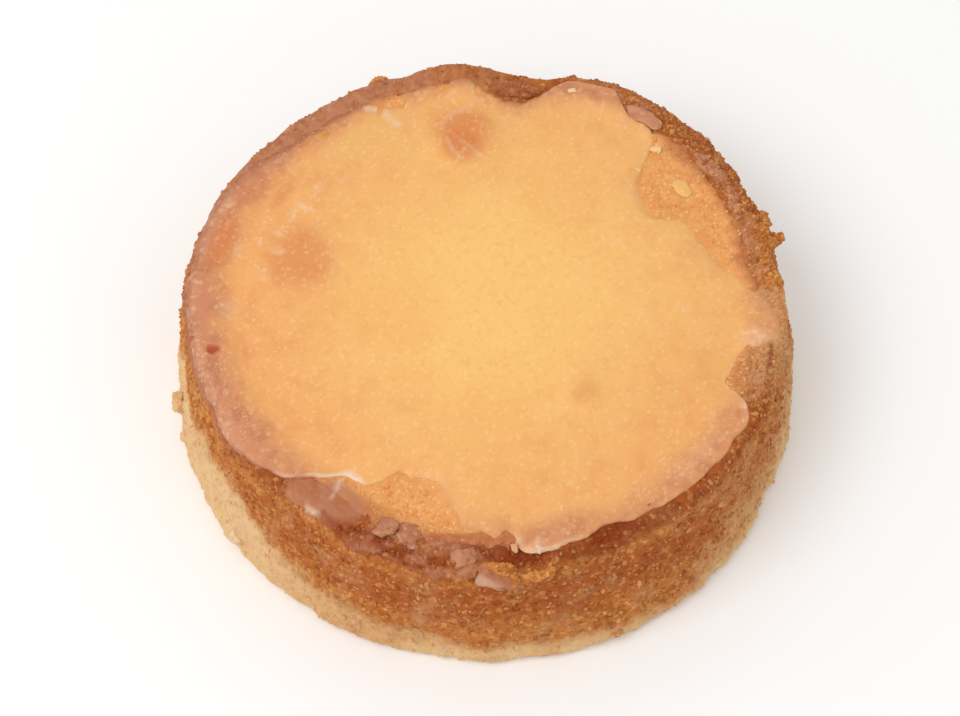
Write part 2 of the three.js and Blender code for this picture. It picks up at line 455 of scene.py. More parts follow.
@dataclass(frozen=True)
class Mottle:
    """A colour over those below it where a pattern lies between two levels.

    For clouds the level is the noise, about 0.3 to 0.7. For grains it is a random number of each grain, and
    for dots it is 1 in the middle of each grain and falls outwards.
    """

    pattern: Pattern
    size: float
    colour: str
    start: float
    full: float
    strength: float
    detail: float = 3.0
    field: str = ""


@dataclass(frozen=True)
class Grit:
    """Fine relief in the shading: its pattern, the size of its grains, and their height."""

    pattern: Pattern
    size: float
    height: float
    detail: float = 3.0


def linear(colour: str) -> tuple[float, float, float, float]:
    """Turns an sRGB hex colour to linear light, by the standard's straight part and its power of 2.4.

    Args:
        colour: A hash sign and six hex digits.

    Returns:
        Red, green, blue and alpha.
    """
    parts = np.array([int(colour[at : at + 2], 16) for at in (1, 3, 5)]) / 255.0
    parts = np.where(parts <= 0.04045, parts / 12.92, ((parts + 0.055) / 1.055) ** 2.4)
    return (*(float(part) for part in parts), 1.0)


def add_node(
    tree: bpy.types.NodeTree, kind: str, settings: dict | None = None, links: dict | None = None
) -> bpy.types.Node:
    """Adds a node to a tree.

    Args:
        tree: The material's or world's node tree.
        kind: The node's type.
        settings: Values of inputs, by number or capitalised name, and of the node's own properties.
        links: Output sockets by the name or number of the input they feed.

    Returns:
        The new node.
    """
    node = tree.nodes.new(kind)
    for key, value in (settings or {}).items():
        if isinstance(key, int) or key[0].isupper():
            node.inputs[key].default_value = value
        else:
            setattr(node, key, value)
    for key, socket in (links or {}).items():
        tree.links.new(socket, node.inputs[key])
    return node


@dataclass(frozen=True)
class Finish:
    """A food's surface: a ground colour, mottles and veils over it in order, relief, gloss and scatter."""

    name: str
    colour: str
    layers: tuple[Veil | Mottle, ...] = ()
    grits: tuple[Grit, ...] = ()
    roughness: float = 0.8
    wet: str = ""
    wet_roughness: float = 0.4
    ior: float = 1.45
    specular: float = 0.5
    scatter: float = 0.0
    scatter_reach: float = 1.0
    scatter_tint: tuple[float, float, float] = (1.0, 0.5, 0.25)

    @property
    def fields(self) -> tuple[str, ...]:
        """The names of the mesh fields that the finish reads."""
        names = [layer.field for layer in self.layers] + [self.wet]
        return tuple(dict.fromkeys(name for name in names if name))

    @property
    def material(self) -> bpy.types.Material:
        """The material, made the first time that it is asked for."""
        return bpy.data.materials.get(self.name) or self._build()

    def filled(self, shape: tuple[int, ...], parts: dict[str, Array]) -> dict[str, Array]:
        """Every field that the finish reads: the parts given, held from 0 to 1, and zeros for the rest."""
        return {key: unit(parts[key]) if key in parts else np.zeros(shape) for key in self.fields}

    def _build(self) -> bpy.types.Material:
        """Makes the material.

        Returns:
            The material, its pattern sizes worked out from real millimetres.
        """
        material = bpy.data.materials.new(self.name)
        material.use_nodes = True
        tree = material.node_tree
        tree.nodes.clear()
        place = add_node(tree, "ShaderNodeTexCoord").outputs["Object"]
        colour = add_node(tree, "ShaderNodeRGB").outputs[0]
        colour.default_value = linear(self.colour)
        for layer in self.layers:
            over = {"data_type": "RGBA", 7: linear(layer.colour)}
            links = {0: self._share(tree, place, layer), 6: colour}
            colour = add_node(tree, "ShaderNodeMix", over, links).outputs[2]
        settings = {
            "Roughness": self.roughness,
            "IOR": self.ior,
            "Specular IOR Level": self.specular,
            "Subsurface Weight": self.scatter,
            "Subsurface Scale": self.scatter_reach * MM,
            "Subsurface Radius": self.scatter_tint,
        }
        links = {"Base Color": colour}
        if self.wet:
            levels = {3: self.roughness, 4: self.wet_roughness}
            wetness = self._field(tree, self.wet)
            links["Roughness"] = add_node(tree, "ShaderNodeMapRange", levels, {0: wetness}).outputs[0]
        normal = self._normal(tree, place)
        if normal is not None:
            links["Normal"] = normal
        surface = add_node(tree, "ShaderNodeBsdfPrincipled", settings, links)
        add_node(tree, "ShaderNodeOutputMaterial", None, {"Surface": surface.outputs[0]})
        return material

    def _field(self, tree: bpy.types.NodeTree, name: str) -> bpy.types.NodeSocket:
        """A field of the mesh, as a socket."""
        return add_node(tree, "ShaderNodeAttribute", {"attribute_name": name}).outputs["Fac"]

    def _share(
        self, tree: bpy.types.NodeTree, place: bpy.types.NodeSocket, layer: Veil | Mottle
    ) -> bpy.types.NodeSocket:
        """How strongly a layer covers those below it: its strength times its field, its pattern or both.

        Args:
            tree: The material's node tree.
            place: The socket that gives the place on the object.
            layer: The veil or mottle.

        Returns:
            The share's socket.
        """
        times = {"operation": "MULTIPLY", "use_clamp": True}
        if isinstance(layer, Veil):
            times[1] = layer.strength
            return add_node(tree, "ShaderNodeMath", times, {0: self._field(tree, layer.field)}).outputs[0]
        levels = {"interpolation_type": "SMOOTHSTEP", 1: layer.start, 2: layer.full, 4: layer.strength}
        level = self._level(tree, place, layer)
        share = add_node(tree, "ShaderNodeMapRange", levels, {0: level}).outputs[0]
        if not layer.field:
            return share
        links = {0: share, 1: self._field(tree, layer.field)}
        return add_node(tree, "ShaderNodeMath", times, links).outputs[0]

    def _level(
        self, tree: bpy.types.NodeTree, place: bpy.types.NodeSocket, layer: Mottle | Grit
    ) -> bpy.types.NodeSocket:
        """A pattern as a number, with clouds or grains of their real size.

        Args:
            tree: The material's node tree.
            place: The socket that gives the place on the object.
            layer: The mottle or grit.

        Returns:
            The number's socket.
        """
        scale = 1.0 / (layer.size * MM)
        if layer.pattern is Pattern.CLOUDS:
            clouds = {"Scale": scale, "Detail": layer.detail}
            return add_node(tree, "ShaderNodeTexNoise", clouds, {"Vector": place}).outputs["Fac"]
        grains = add_node(tree, "ShaderNodeTexVoronoi", {"Scale": scale}, {"Vector": place})
        if layer.pattern is Pattern.GRAINS:
            return grains.outputs["Color"]
        less = {"operation": "SUBTRACT", 0: 1.0}
        return add_node(tree, "ShaderNodeMath", less, {1: grains.outputs["Distance"]}).outputs[0]

    def _normal(self, tree: bpy.types.NodeTree, place: bpy.types.NodeSocket) -> bpy.types.NodeSocket | None:
        """The surface's normal with every grit's relief.

        Args:
            tree: The material's node tree.
            place: The socket that gives the place on the object.

        Returns:
            The normal's socket, or None where there is no grit.
        """
        normal = None
        for grit in self.grits:
            links = {"Height": self._level(tree, place, grit)}
            if normal is not None:
                links["Normal"] = normal
            settings = {"Strength": 1.0, "Distance": grit.height * MM}
            normal = add_node(tree, "ShaderNodeBump", settings, links).outputs["Normal"]
        return normal


# Shortcrust: butter and flour rubbed to coarse grains, pressed in a tin and baked. Dry, matt and sandy.
SHORTCRUST = Finish(
    name="baked_shortcrust",
    colour="#c27736",
    layers=(
        Mottle(Pattern.CLOUDS, 4.0, "#a95a24", 0.42, 0.66, 0.6, detail=2.0),
        Mottle(Pattern.CLOUDS, 1.6, "#d69a56", 0.48, 0.7, 0.5),
        # Gold: golden bake, and a painted highlight along the shoulder.
        Veil("gold", "#dc9044", 0.75),
        Veil("rust", "#a8501c", 0.8),
        Mottle(Pattern.GRAINS, 0.7, "#8a3f16", 0.55, 0.85, 0.35),
        Mottle(Pattern.GRAINS, 0.6, "#e6ac66", 0.6, 0.9, 0.4),
        # Darker between the grains, in the creases of the grit's bumps: painted shade.
        Mottle(Pattern.DOTS, 0.62, "#823c14", 0.5, 0.3, 0.24),
        Veil("pale", "#e4c08c", 0.92),
        Mottle(Pattern.CLOUDS, 3.4, "#dfae86", 0.46, 0.66, 0.5, detail=2.0, field="pale"),
        Mottle(Pattern.CLOUDS, 1.1, "#cf9f64", 0.45, 0.72, 0.5, field="pale"),
        # Dark: the rim's deep bake, with painted shade in its notches and along a line at the right edge.
        Veil("dark", "#8a350d", 0.92),
        Mottle(Pattern.CLOUDS, 0.9, "#b0592c", 0.5, 0.7, 0.5, field="dark"),
        Veil("cream", "#f0dcbc", 0.8),
        Veil("light", "#ecb070", 0.5),
        # Deep: a random deeper tone of crumbs, and painted shade in the hollows of torn crust.
        Veil("deep", "#8c4017", 0.5),
        # Glazed and milk: glaze soaked into and left on the crust, with painted highlights on torn ridges and
        # painted sheen on the grains.
        Veil("glazed", "#b8775a", 0.85),
        Veil("milk", "#d39a78", 0.8),
        Veil("white", "#edd0b4", 0.95),
    ),
    grits=(Grit(Pattern.DOTS, 0.62, 0.12), Grit(Pattern.CLOUDS, 0.4, 0.09, 3.0)),
    roughness=0.8,
    wet="glazed",
    specular=0.22,
    scatter=0.2,
    scatter_reach=0.6,
    scatter_tint=(1.0, 0.45, 0.18),
)

# Lemon filling: an egg and lemon batter baked till it set. Moist, dense and crumbly where it is bare.
FILLING = Finish(
    name="baked_lemon_filling",
    colour="#eba45b",
    layers=(
        Mottle(Pattern.CLOUDS, 2.4, "#e2934d", 0.42, 0.66, 0.6),
        Mottle(Pattern.CLOUDS, 1.0, "#f3b868", 0.5, 0.7, 0.5),
        # Darker between the grains, in the creases of the grit's bumps: painted shade.
        Mottle(Pattern.DOTS, 0.6, "#d98745", 0.5, 0.3, 0.25),
        Mottle(Pattern.DOTS, 0.8, "#fbd49c", 0.72, 0.86, 0.5),
        Veil("rust", "#b4622f", 0.9),
        Mottle(Pattern.CLOUDS, 0.8, "#d08a58", 0.45, 0.68, 0.45, field="rust"),
        Veil("light", "#f6cd8e", 0.5),
        Veil("deep", "#d08444", 0.4),
        Veil("glazed", "#b8775a", 0.85),
        Veil("milk", "#e6ac84", 0.7),
        Veil("white", "#edd0b4", 0.95),
    ),
    grits=(Grit(Pattern.DOTS, 0.6, 0.05), Grit(Pattern.CLOUDS, 0.4, 0.05, 3.0)),
    roughness=0.5,
    wet="glazed",
    scatter=0.25,
    scatter_reach=1.2,
)

# Loose crumbs: the same crust and filling, but too small for light to soak far into them.
CRUST_CRUMBS = replace(SHORTCRUST, name="shortcrust_crumbs", scatter=0.0)
LEMON_CRUMBS = replace(FILLING, name="lemon_filling_crumbs", scatter=0.0)

# Lemon glaze: icing sugar and lemon juice set to a thin smooth skin. Waxy, and milky over what lies below.
GLAZE = Finish(
    name="set_lemon_glaze",
    colour="#f7c270",
    layers=(
        Mottle(Pattern.CLOUDS, 14.0, "#f3b765", 0.38, 0.6, 0.6, detail=1.0),
        Mottle(Pattern.CLOUDS, 4.0, "#fac982", 0.5, 0.75, 0.35, detail=2.0),
        Mottle(Pattern.CLOUDS, 1.0, "#eeab5c", 0.5, 0.72, 0.42),
        Veil("warmth", "#eba261", 0.85),
        Mottle(Pattern.CLOUDS, 3.0, "#e39654", 0.45, 0.7, 0.5, detail=2.0, field="warmth"),
        Veil("pool", "#e9b468", 0.85),
        Veil("crust_below", "#ca825c", 0.95),
        Mottle(Pattern.CLOUDS, 2.0, "#b86e48", 0.45, 0.68, 0.6, detail=2.0, field="crust_below"),
        Veil("spot", "#d67c40", 0.9),
        # Brown: crust seen through thin glaze, and a painted shadow line at the left lap's edge.
        Veil("brown", "#ab623b", 0.95),
        Veil("milk", "#efcaa9", 0.85),
        Mottle(Pattern.GRAINS, 0.45, "#fcd9a2", 0.62, 0.95, 0.24),
        # Light dots that stand in for glints of light on the glaze's sugar: painted highlights.
        Mottle(Pattern.DOTS, 1.0, "#fde6bd", 0.88, 0.95, 0.16),
        Mottle(Pattern.DOTS, 0.45, "#fde3b8", 0.68, 0.88, 0.28, field="sparkle"),
        Veil("pit", "#b34d1b", 1.0),
        Veil("white", "#f0d6bd", 0.95),
    ),
    grits=(Grit(Pattern.CLOUDS, 1.4, 0.03, 2.0), Grit(Pattern.CLOUDS, 0.3, 0.012, 2.0)),
    roughness=0.4,
    scatter=0.25,
    scatter_reach=1.4,
)


# ------------------------ The tart


@dataclass(frozen=True)
class TartForm:
    """The tart's driving sizes, and the outlines and heights that its pieces share."""

    rim_height: float = 20.4
    shoulder_height: float = 19.2
    shoulder_radius: float = 40.2
    belly_radius: float = 41.8
    belly_height: float = 10.0
    foot_radius: float = 43.2
    foot_corner: float = 1.6
    rim_width: float = 2.8
    bevel: float = 1.2
    wall_flare: float = 0.15
    inner_edge: float = 0.4
    floor: float = 4.0
    filling_height: float = 19.5
    dome: float = 0.8
    meniscus: float = 3.0
    glaze_radius: float = 38.9
    glaze_rise: float = 1.0
    rim_waves: Waves = Waves(((2, 0.13, -32.7), (3, 0.33, 46.8), (4, 0.1, -35.8), (5, 0.13, -25.7)))
    foot_waves: Waves = Waves(((2, 0.45, 80.9), (3, 0.28, 39.4), (4, 0.21, 39.2)))
    rim_dents: Bumps = Bumps(
        (
            (10, 3, 0.8), (31, 6, 0.4), (82, 8.5, 1.3), (235, 8, 0.9), (262, 9, -0.5),
            (287, 9, 0.9), (303, 6, 0.4),
        )
    )
    rim_folds: Bumps = Bumps(((84, 7, 1.4),))
    rim_lifts: Bumps = Bumps(((97, 9, 0.9), (80, 8, -0.8), (64, 8, 0.4), (112, 7, 0.4), (128, 10, -0.3)))
    glaze_bays: Bumps = Bumps(
        (
            (5, 6, 3.0), (19, 9, 7.3), (37.5, 10.5, 12), (84, 8, 3.4), (105, 13, 2.2), (130, 14, 2.2),
            (235, 8, 2.7), (241, 7, 2.2), (252.5, 9.5, 9.4), (269, 9, 2.7), (294, 4, 1.0), (55, 6, 3.2),
            (342, 7, 4.8),
        ),
        FLAT,
    )
    glaze_laps: Bumps = Bumps(((180, 36, 1.1), (214, 8, 0.9), (133, 17, 0.9), (357, 9, 0.6)), BOX)
    blisters: Patches = Patches(((97, 26.5, 5, 5, 0.6), (168, 26.4, 6, 6, 0.5), (311, 19.5, 3.5, 3.5, 0.3)))
    crags: Relief = Relief(((5.5, 0.4), (2.4, 0.3)))
    facets: Patches = Patches(
        ((231.5, 37.6, 2.3, 2.6, 1.4), (238.5, 36.2, 2.8, 3.2, 1.4), (55, 37.0, 1.2, 3.0, 1.4))
    )
    facet_lines: Strokes = Strokes(
        (
            (((33.6, 235.4), (34.7, 236.2)), 0.42, 0.5),
            (((34.6, 236.2), (36.4, 236.5)), 0.2, 0.35),
            (((38.8, 233.4), (38.9, 235.8)), 0.32, 0.8),
        )
    )

    @property
    def inner_mean(self) -> float:
        """The mean radius of the case's inner wall."""
        return self.rim_edge - self.rim_width

    @property
    def rim_edge(self) -> float:
        """The mean radius of the outside of the rim's flat top."""
        return self.shoulder_radius - self.bevel

    def rim_outline(self, angle: Array) -> Array:
        """How far the rim stands out of a true circle."""
        return self.rim_waves.at(angle) - self.rim_dents.at(angle)

    def outline(self, angle: Array, height: Array) -> Array:
        """How far the wall stands out of a true circle: the foot's waves, going over to the rim's."""
        return blend(self.foot_waves.at(angle), self.rim_outline(angle), ease(height, 0.0, self.rim_height))

    def inner_radius(self, angle: Array) -> Array:
        """The radius of the case's inner wall."""
        return self.inner_mean + self.rim_outline(angle) - self.rim_folds.at(angle)

    def rim_top(self, angle: Array) -> Array:
        """The height of the rim's flat top."""
        return self.rim_height + self.rim_lifts.at(angle)

    def wall_radius(self, height: Array) -> Array:
        """The mean wall's radius: a parabola through the foot, the belly and the shoulder.

        Args:
            height: Height above the underside.

        Returns:
            The radius at that height.
        """
        heights = (self.foot_corner, self.belly_height, self.shoulder_height)
        radii = (self.foot_radius, self.belly_radius, self.shoulder_radius)
        return np.polyval(np.polyfit(heights, radii, 2), height)

    def bed_height(self, radius: Array, angle: Array) -> Array:
        """The surface that the glaze lies on: the domed filling, which climbs to the rim, and the rim.

        Args:
            radius: Distance from the middle.
            angle: Angle round the tart.

        Returns:
            The height of the surface.
        """
        inner = self.inner_radius(angle)
        filling = self.filling_height + self.dome * (1.0 - (radius / inner) ** 2)
        filling = filling + self.blisters.at(radius, angle)
        return blend(filling, self.rim_top(angle), ease(radius, inner - self.meniscus, inner))

    def draped(self, run: Array, angle: Array, lift: Array | float) -> Array:
        """Points over the bed by their distance from the middle along it: over the top, then over the bevel.

        The bevel is a quarter turn. Over the rim the points follow the crust's crags, and past it the wall.

        Args:
            run: Distance from the middle along the bed.
            angle: Angle round the tart.
            lift: Distance from the bed, along its normal.

        Returns:
            Points in millimetres.
        """
        outline = self.rim_outline(angle)
        over = np.maximum(run - outline - self.rim_edge, 0.0) / self.bevel
        turn = np.minimum(over, np.pi / 2)
        drop = (over - turn) * self.bevel
        flat = np.minimum(run - outline, self.rim_edge)
        radius = flat + self.bevel * np.sin(turn) + self.wall_flare * drop
        fall = (self.rim_height - self.shoulder_height) * (1.0 - np.cos(turn)) + drop
        place = on_circle(radius, angle, self.rim_height - fall)
        crag = self.crags.at(place) * ease(flat, self.inner_mean, self.rim_edge)
        height = self.bed_height(flat + outline, angle) - fall
        return on_circle(radius + outline + crag + lift * np.sin(turn), angle, height + lift * np.cos(turn))

    def glaze_reach(self, angle: Array) -> Array:
        """How far the glaze runs out from the middle before its edge is made ragged."""
        mean = self.glaze_radius + self.rim_outline(angle)
        return mean - self.glaze_bays.at(angle) + self.glaze_laps.at(angle)

    def facet(self, radius: Array, angle: Array) -> Array:
        """Where the crust is smooth and glossy, because glaze has soaked in and its top has broken off."""
        return unit(self.facets.at(radius, angle))


@dataclass(frozen=True)
class CrustPlaces:
    """Some points of the crust, with what its colours go by.

    Wobble is a wandering number about 0, and torn is how far torn crust stands up. The others are shares from
    0 to 1: speckled, on the chipped side, on the rim, at its outer edge, glossy, little baked, and torn.
    """

    radius: Array
    angle: Array
    height: Array
    wobble: Array
    patchy: Array
    front: Array
    on_rim: Array
    at_edge: Array
    facet: Array
    golden: Array
    torn: Array
    standing: Array


@dataclass
class PastryCase:
    """The shortcrust case: a pressed cup with a pale foot, a browned wall, a dark bevel and a crumbly rim.

    The bumps and patches say where each colour shows. Limits named for an edge are counted from the shoulder,
    those named for the wall from the inner wall, and the others are heights or radii.
    """

    form: TartForm
    columns: int = 960
    under_radii: tuple[float, ...] = (0.0, 20.0, 34.0)
    wall_rows: int = 65
    corner_rows: int = 6
    bevel_rows: int = 8
    rim_rows: int = 12
    grain: Relief = Relief(((1.4, 0.2), (0.7, 0.15)), 7.3)
    torn_grain: Relief = Relief(((1.5, 0.6), (0.7, 0.3)), 2.7)
    wander: Relief = Relief(((4.2, 1.0), (1.7, 0.7), (0.8, 0.4)), 3.1)
    specks: Relief = Relief(((1.4, 1.0), (0.6, 0.8)), 21.0)
    breaks: Relief = Relief(((3.0, 1.0), (1.1, 0.6)), 14.0)
    curds: Relief = Relief(((1.2, 0.8), (0.5, 0.8)), 11.0)
    broken: Bumps = Bumps(((258, 28, 1.0), (308, 26, 0.55), (24, 22, 0.6)), FLAT)
    notches: Bumps = Bumps(((275, 6.5, 1.0), (294, 3.5, 0.7)), FLAT)
    smoother: Bumps = Bumps(((118, 62, 0.6),), BOX)
    front: Bumps = Bumps(((280, 62, 1.0),), BOX)
    right: Bumps = Bumps(((342, 32, 1.0),), FLAT)
    rough_wall: Limits = (0.0, 0.8)
    torn_edge: Limits = (-3.0, 0.0)
    torn_wall: Limits = (0.9, 1.9)
    glossy_edge: float = 0.6
    rim_colour_edge: float = 1.4
    rim_colour_fade: float = 1.6
    pale_height: float = 4.2
    pale_rises: Bumps = Bumps(
        ((212, 24, 6.5), (188, 12, 6.0), (248, 16, 1.8), (298, 28, -3.4), (90, 60, 1.5))
    )
    pale_gap: Bumps = Bumps(((259, 27, 0.5),), FLAT)
    pale_front: Bumps = Bumps(((274, 22, 1.0),), FLAT)
    pale_right: Bumps = Bumps(((352, 12, 0.3),))
    pale_fade: Limits = (3.0, 13.0)
    pale_climb: Limits = (2.0, 8.0)
    dark_edge: Limits = (-2.4, -1.2)
    narrow_edge: Bumps = Bumps(((338, 20, 0.9),), FLAT)
    faint_edge: Bumps = Bumps(((322, 26, 0.4),), FLAT)
    edge_shadow_line: Strokes = Strokes(((((40.1, 324), (39.9, 332), (39.1, 341), (38.4, 349)), 0.5, 0.9),))
    notch_shade: Bumps = Bumps(((273, 9, 0.9), (294, 4, 0.7)), FLAT)
    notch_shade_end: Limits = (38.6, 40.2)
    dark_bay: Bumps = Bumps(((243.5, 7, 0.75),), FLAT)
    dark_bay_start: Limits = (38.0, 38.9)
    golden: Bumps = Bumps(((2, 15, 1.0), (343, 8, 0.5), (98, 9, 0.3)))
    golden_side: Bumps = Bumps(((2, 12, 0.6),))
    golden_climb: Limits = (14.0, 17.0)
    golden_wall: Limits = (1.4, 0.0)
    highlight_height: float = 17.2
    highlight_width: float = 1.2
    golden_spots: Limits = (6.0, 12.0)
    baked_climb: Limits = (6.5, 11.5)
    baked_fade: Limits = (16.0, 17.5)
    soaked: Bumps = Bumps(((130, 38, 0.6), (197, 19, 0.5)), FLAT)
    ridge_highlight: Bumps = Bumps(((257, 13, 1.0),), FLAT)
    sheen_left: Bumps = Bumps(((142, 18, 0.5), (163, 10, 0.3), (114, 14, 0.35)), FLAT)
    sheen: Patches = Patches(
        (
            (35, 37.3, 1.5, 4.4, 1.0), (23, 37.1, 1.5, 4.4, 1.0), (14, 36.6, 1.4, 3.0, 0.8),
            (342, 36.6, 2.6, 3.0, 0.75), (4, 37.6, 1.8, 3.6, 0.8), (62, 38.6, 1.2, 6.0, 0.6),
        )
    )

    @property
    def first_row(self) -> int:
        """The section's row where the foot's rounded corner starts."""
        return len(self.under_radii)

    @property
    def shoulder_row(self) -> int:
        """The section's row at the top of the wall."""
        return self.first_row + self.corner_rows + self.wall_rows

    @property
    def rim_row(self) -> int:
        """The section's row at the outside of the rim's flat top."""
        return self.shoulder_row + self.bevel_rows

    def profile(self) -> tuple[Array, Array]:
        """The section from the middle of the underside, up the wall, over the rim and down to the floor.

        Returns:
            The radius and the height of each row.
        """
        form = self.form
        corner = np.radians(np.linspace(-90.0, 0.0, self.corner_rows, endpoint=False))
        corner_radius = form.foot_radius - form.foot_corner * (1.0 - np.cos(corner))
        corner_height = form.foot_corner * (1.0 + np.sin(corner))
        wall = np.linspace(form.foot_corner, form.shoulder_height, self.wall_rows, endpoint=False)
        turn = np.radians(np.linspace(0.0, 90.0, self.bevel_rows, endpoint=False))
        bevel_radius = form.shoulder_radius - form.bevel * (1.0 - np.cos(turn))
        bevel_height = form.shoulder_height + (form.rim_height - form.shoulder_height) * np.sin(turn)
        inner = form.inner_mean
        rim = np.linspace(form.rim_edge, inner + form.inner_edge, self.rim_rows)
        radius = [self.under_radii, corner_radius, form.wall_radius(wall), bevel_radius, rim]
        height = [np.zeros(self.first_row), corner_height, wall, bevel_height, 0.0 * rim + form.rim_height]
        inner_edge = form.rim_height - form.inner_edge
        radius.append([inner, inner, inner, inner / 2, 0.0])
        height.append([inner_edge, form.rim_height / 2, form.floor, form.floor, form.floor])
        return np.concatenate(radius), np.concatenate(height)

    def surface(self, row: Array, angle: Array) -> Array:
        """The crust's surface.

        Each point of the section is moved out by the outline and the crags, raised by the rim's lifts, lowered
        at the notches, and pushed along the section's normal by the grain, coarser where torn.

        Args:
            row: Where on the section, counted in rows.
            angle: Angle round the tart.

        Returns:
            Points in millimetres.
        """
        form = self.form
        radii, heights = self.profile()
        section = (radii, heights, *row_normals(radii, heights))
        radius, height, out, up = (np.interp(row, np.arange(len(radii)), part) for part in section)
        mean, shoulder = form.inner_mean, form.shoulder_height
        inside = (radius <= mean + 1e-3) & (height > 0.0)
        edge = ease(radius, mean, form.rim_edge)
        place = on_circle(radius, angle, height)
        crag = np.where(height > 0.0, form.crags.at(place) * edge, 0.0)
        outer = radius + (form.outline(angle, height) + crag) * np.minimum(1.0, radius / mean)
        radius_now = np.where(inside, form.inner_radius(angle) * radius / mean, outer)
        inner_lift = np.where(height > form.floor, ease(height, shoulder, form.rim_height), 0.0)
        lift = np.where(inside, inner_lift, ease(height, form.belly_height, form.rim_height) ** 2)
        height_now = height + form.rim_lifts.at(angle) * lift
        glossy = form.facet(radius_now, angle) * ease(height, shoulder - self.glossy_edge, form.rim_height)
        rough = ramp(radius, mean, self.rough_wall) * (1.0 - glossy)
        coarse = 1.0 - self.smoother.at(angle) * ease(height, form.belly_height, shoulder)
        fine = self.grain.at(place) * rough * coarse * ease(height, 0.0, 0.8)
        height_now = height_now - self.notches.at(angle) * edge * lift
        upper = ramp(height, shoulder, self.torn_edge) * ramp(radius, mean, self.torn_wall)
        fine = fine + self.torn_relief(on_circle(radius_now, angle, height_now)) * rough * upper
        return on_circle(radius_now + fine * out, angle, height_now + fine * up)

    def torn_relief(self, points: Array) -> Array:
        """How far torn crust stands up: noise drawn out sideways, where the rim is broken."""
        return self.torn_grain.at(points * [0.6, 0.6, 1.0]) * self.broken.at(polar(points)[1])

    def places(self, points: Array) -> CrustPlaces:
        """Works out what the crust's colours go by.

        Args:
            points: The surface's points.

        Returns:
            The same points as places on the crust.
        """
        form = self.form
        radius, angle, height = polar(points)
        wobble = self.wander.at(points)
        edge = form.shoulder_height - self.rim_colour_edge - self.notches.at(angle)
        edge = edge + self.narrow_edge.at(angle)
        on_rim = ramp(height + 0.4 * wobble, edge, (0.0, self.rim_colour_fade))
        shoulder = form.shoulder_radius + form.rim_outline(angle)
        torn = self.torn_relief(points) * on_rim
        return CrustPlaces(
            radius=radius,
            angle=angle,
            height=height,
            wobble=wobble,
            patchy=ease(self.specks.at(points), -0.6, 0.5),
            front=self.front.at(angle),
            on_rim=on_rim,
            at_edge=ramp(radius + 0.5 * wobble, shoulder, self.dark_edge),
            facet=form.facet(radius + 0.7 * wobble, angle) * on_rim,
            golden=self.golden.at(angle),
            torn=torn,
            standing=ease(torn, -0.25, 0.4) * on_rim,
        )

    def pale(self, crust: CrustPlaces) -> Array:
        """How pale places on the wall are: below a wandering line, and higher at the front and right.

        Args:
            crust: The places.

        Returns:
            Numbers from about 0 to about 1.
        """
        angle, height = crust.angle, crust.height
        line = self.pale_height + self.pale_rises.at(angle) + 1.6 * crust.wobble
        foot = (1.0 - ease(height, line - 2.0, line + 1.8)) * (1.0 - self.pale_gap.at(angle))
        front = self.pale_front.at(angle)
        low = (0.6 + 0.3 * front) * (1.0 - ease(height, 0.9 + 1.6 * front, 4.6 + 0.8 * front))
        low = low + 0.48 * self.right.at(angle) * (1.0 - ease(height, *self.pale_fade))
        low = low + self.pale_right.at(angle) * ease(height, *self.pale_climb)
        return np.maximum(foot, low + 0.2 * crust.wobble)

    def dark(self, crust: CrustPlaces) -> Array:
        """How dark places are: at the rim's outer edge, by the front bay, and as painted shade in its notches
        and along a line.

        Args:
            crust: The places.

        Returns:
            Numbers from about 0 to about 1.
        """
        angle, on_rim = crust.angle, crust.on_rim
        speckled = 0.6 + 0.4 * crust.patchy
        dark = on_rim * crust.at_edge * (0.3 + 0.7 * crust.front) * (0.85 + 0.4 * crust.wobble)
        dark = dark * (1.0 - self.faint_edge.at(angle))
        # Torn crust that stands up is kept lighter: a painted highlight on its ridges.
        dark = dark * (1.0 - crust.standing * (0.25 + 0.35 * crust.front)) * speckled
        # Painted shade in the notches of the rim, which are recesses.
        dark = dark + self.notch_shade.at(angle) * on_rim * (1.0 - ease(crust.radius, *self.notch_shade_end))
        bay = ease(crust.radius + 0.3 * crust.wobble, *self.dark_bay_start) * (0.5 + 0.5 * crust.patchy)
        dark = dark + self.dark_bay.at(angle) * on_rim * bay
        dark = dark * (1.0 - 0.85 * crust.facet) * (1.0 - crust.golden)
        # A painted shadow line along the rim's outer edge at the right.
        line = self.edge_shadow_line.at(crust.radius + 0.25 * crust.wobble, angle)
        return np.maximum(dark, line * on_rim * speckled)

    def rust(self, crust: CrustPlaces, pale: Array) -> Array:
        """How rusty places are: on the rim, in spots on the wall, and in a baked band at its front.

        Args:
            crust: The places.
            pale: How pale each is.

        Returns:
            Numbers from 0 to 1.
        """
        rust = crust.on_rim * (0.7 - 0.3 * crust.at_edge) * (1.0 - crust.golden)
        rust = rust + 0.4 * ease(crust.wobble, 0.3, 1.0) * (1.0 - pale)
        band = 0.9 * crust.front * ease(crust.height + crust.wobble, *self.baked_climb)
        band = band * (1.0 - 0.7 * ease(crust.height, *self.baked_fade))
        rust = rust + band * (1.0 - 0.4 * self.right.at(crust.angle))
        return unit(rust) * (1.0 - 0.6 * crust.facet)

    def gold(self, points: Array, crust: CrustPlaces) -> Array:
        """How golden places are: along the inner wall, in a painted highlight line under the rim, in spots and
        at the right.

        Args:
            points: The surface's points.
            crust: The same points as places.

        Returns:
            The strongest of these for each.
        """
        wall = 1.0 - crust.on_rim
        line_height = crust.height - 0.8 * crust.wobble
        # A lighter golden line along the shoulder under the rim: a painted highlight.
        line = 0.42 * crest(line_height, self.highlight_height, self.highlight_width) * crust.front
        line = line * ease(self.breaks.at(points), -0.5, 0.5)
        spots = 0.5 * ease(crust.wobble, 0.1, 0.9) * ease(crust.height, *self.golden_spots) * wall
        side = self.golden_side.at(crust.angle) * ease(crust.height, *self.golden_climb) * wall
        inner = self.form.inner_radius(crust.angle)
        inside = 0.7 * ramp(crust.radius - 0.6 * crust.wobble, inner, self.golden_wall) * crust.on_rim
        return np.maximum.reduce([line, inside, spots, side, crust.golden * crust.on_rim])

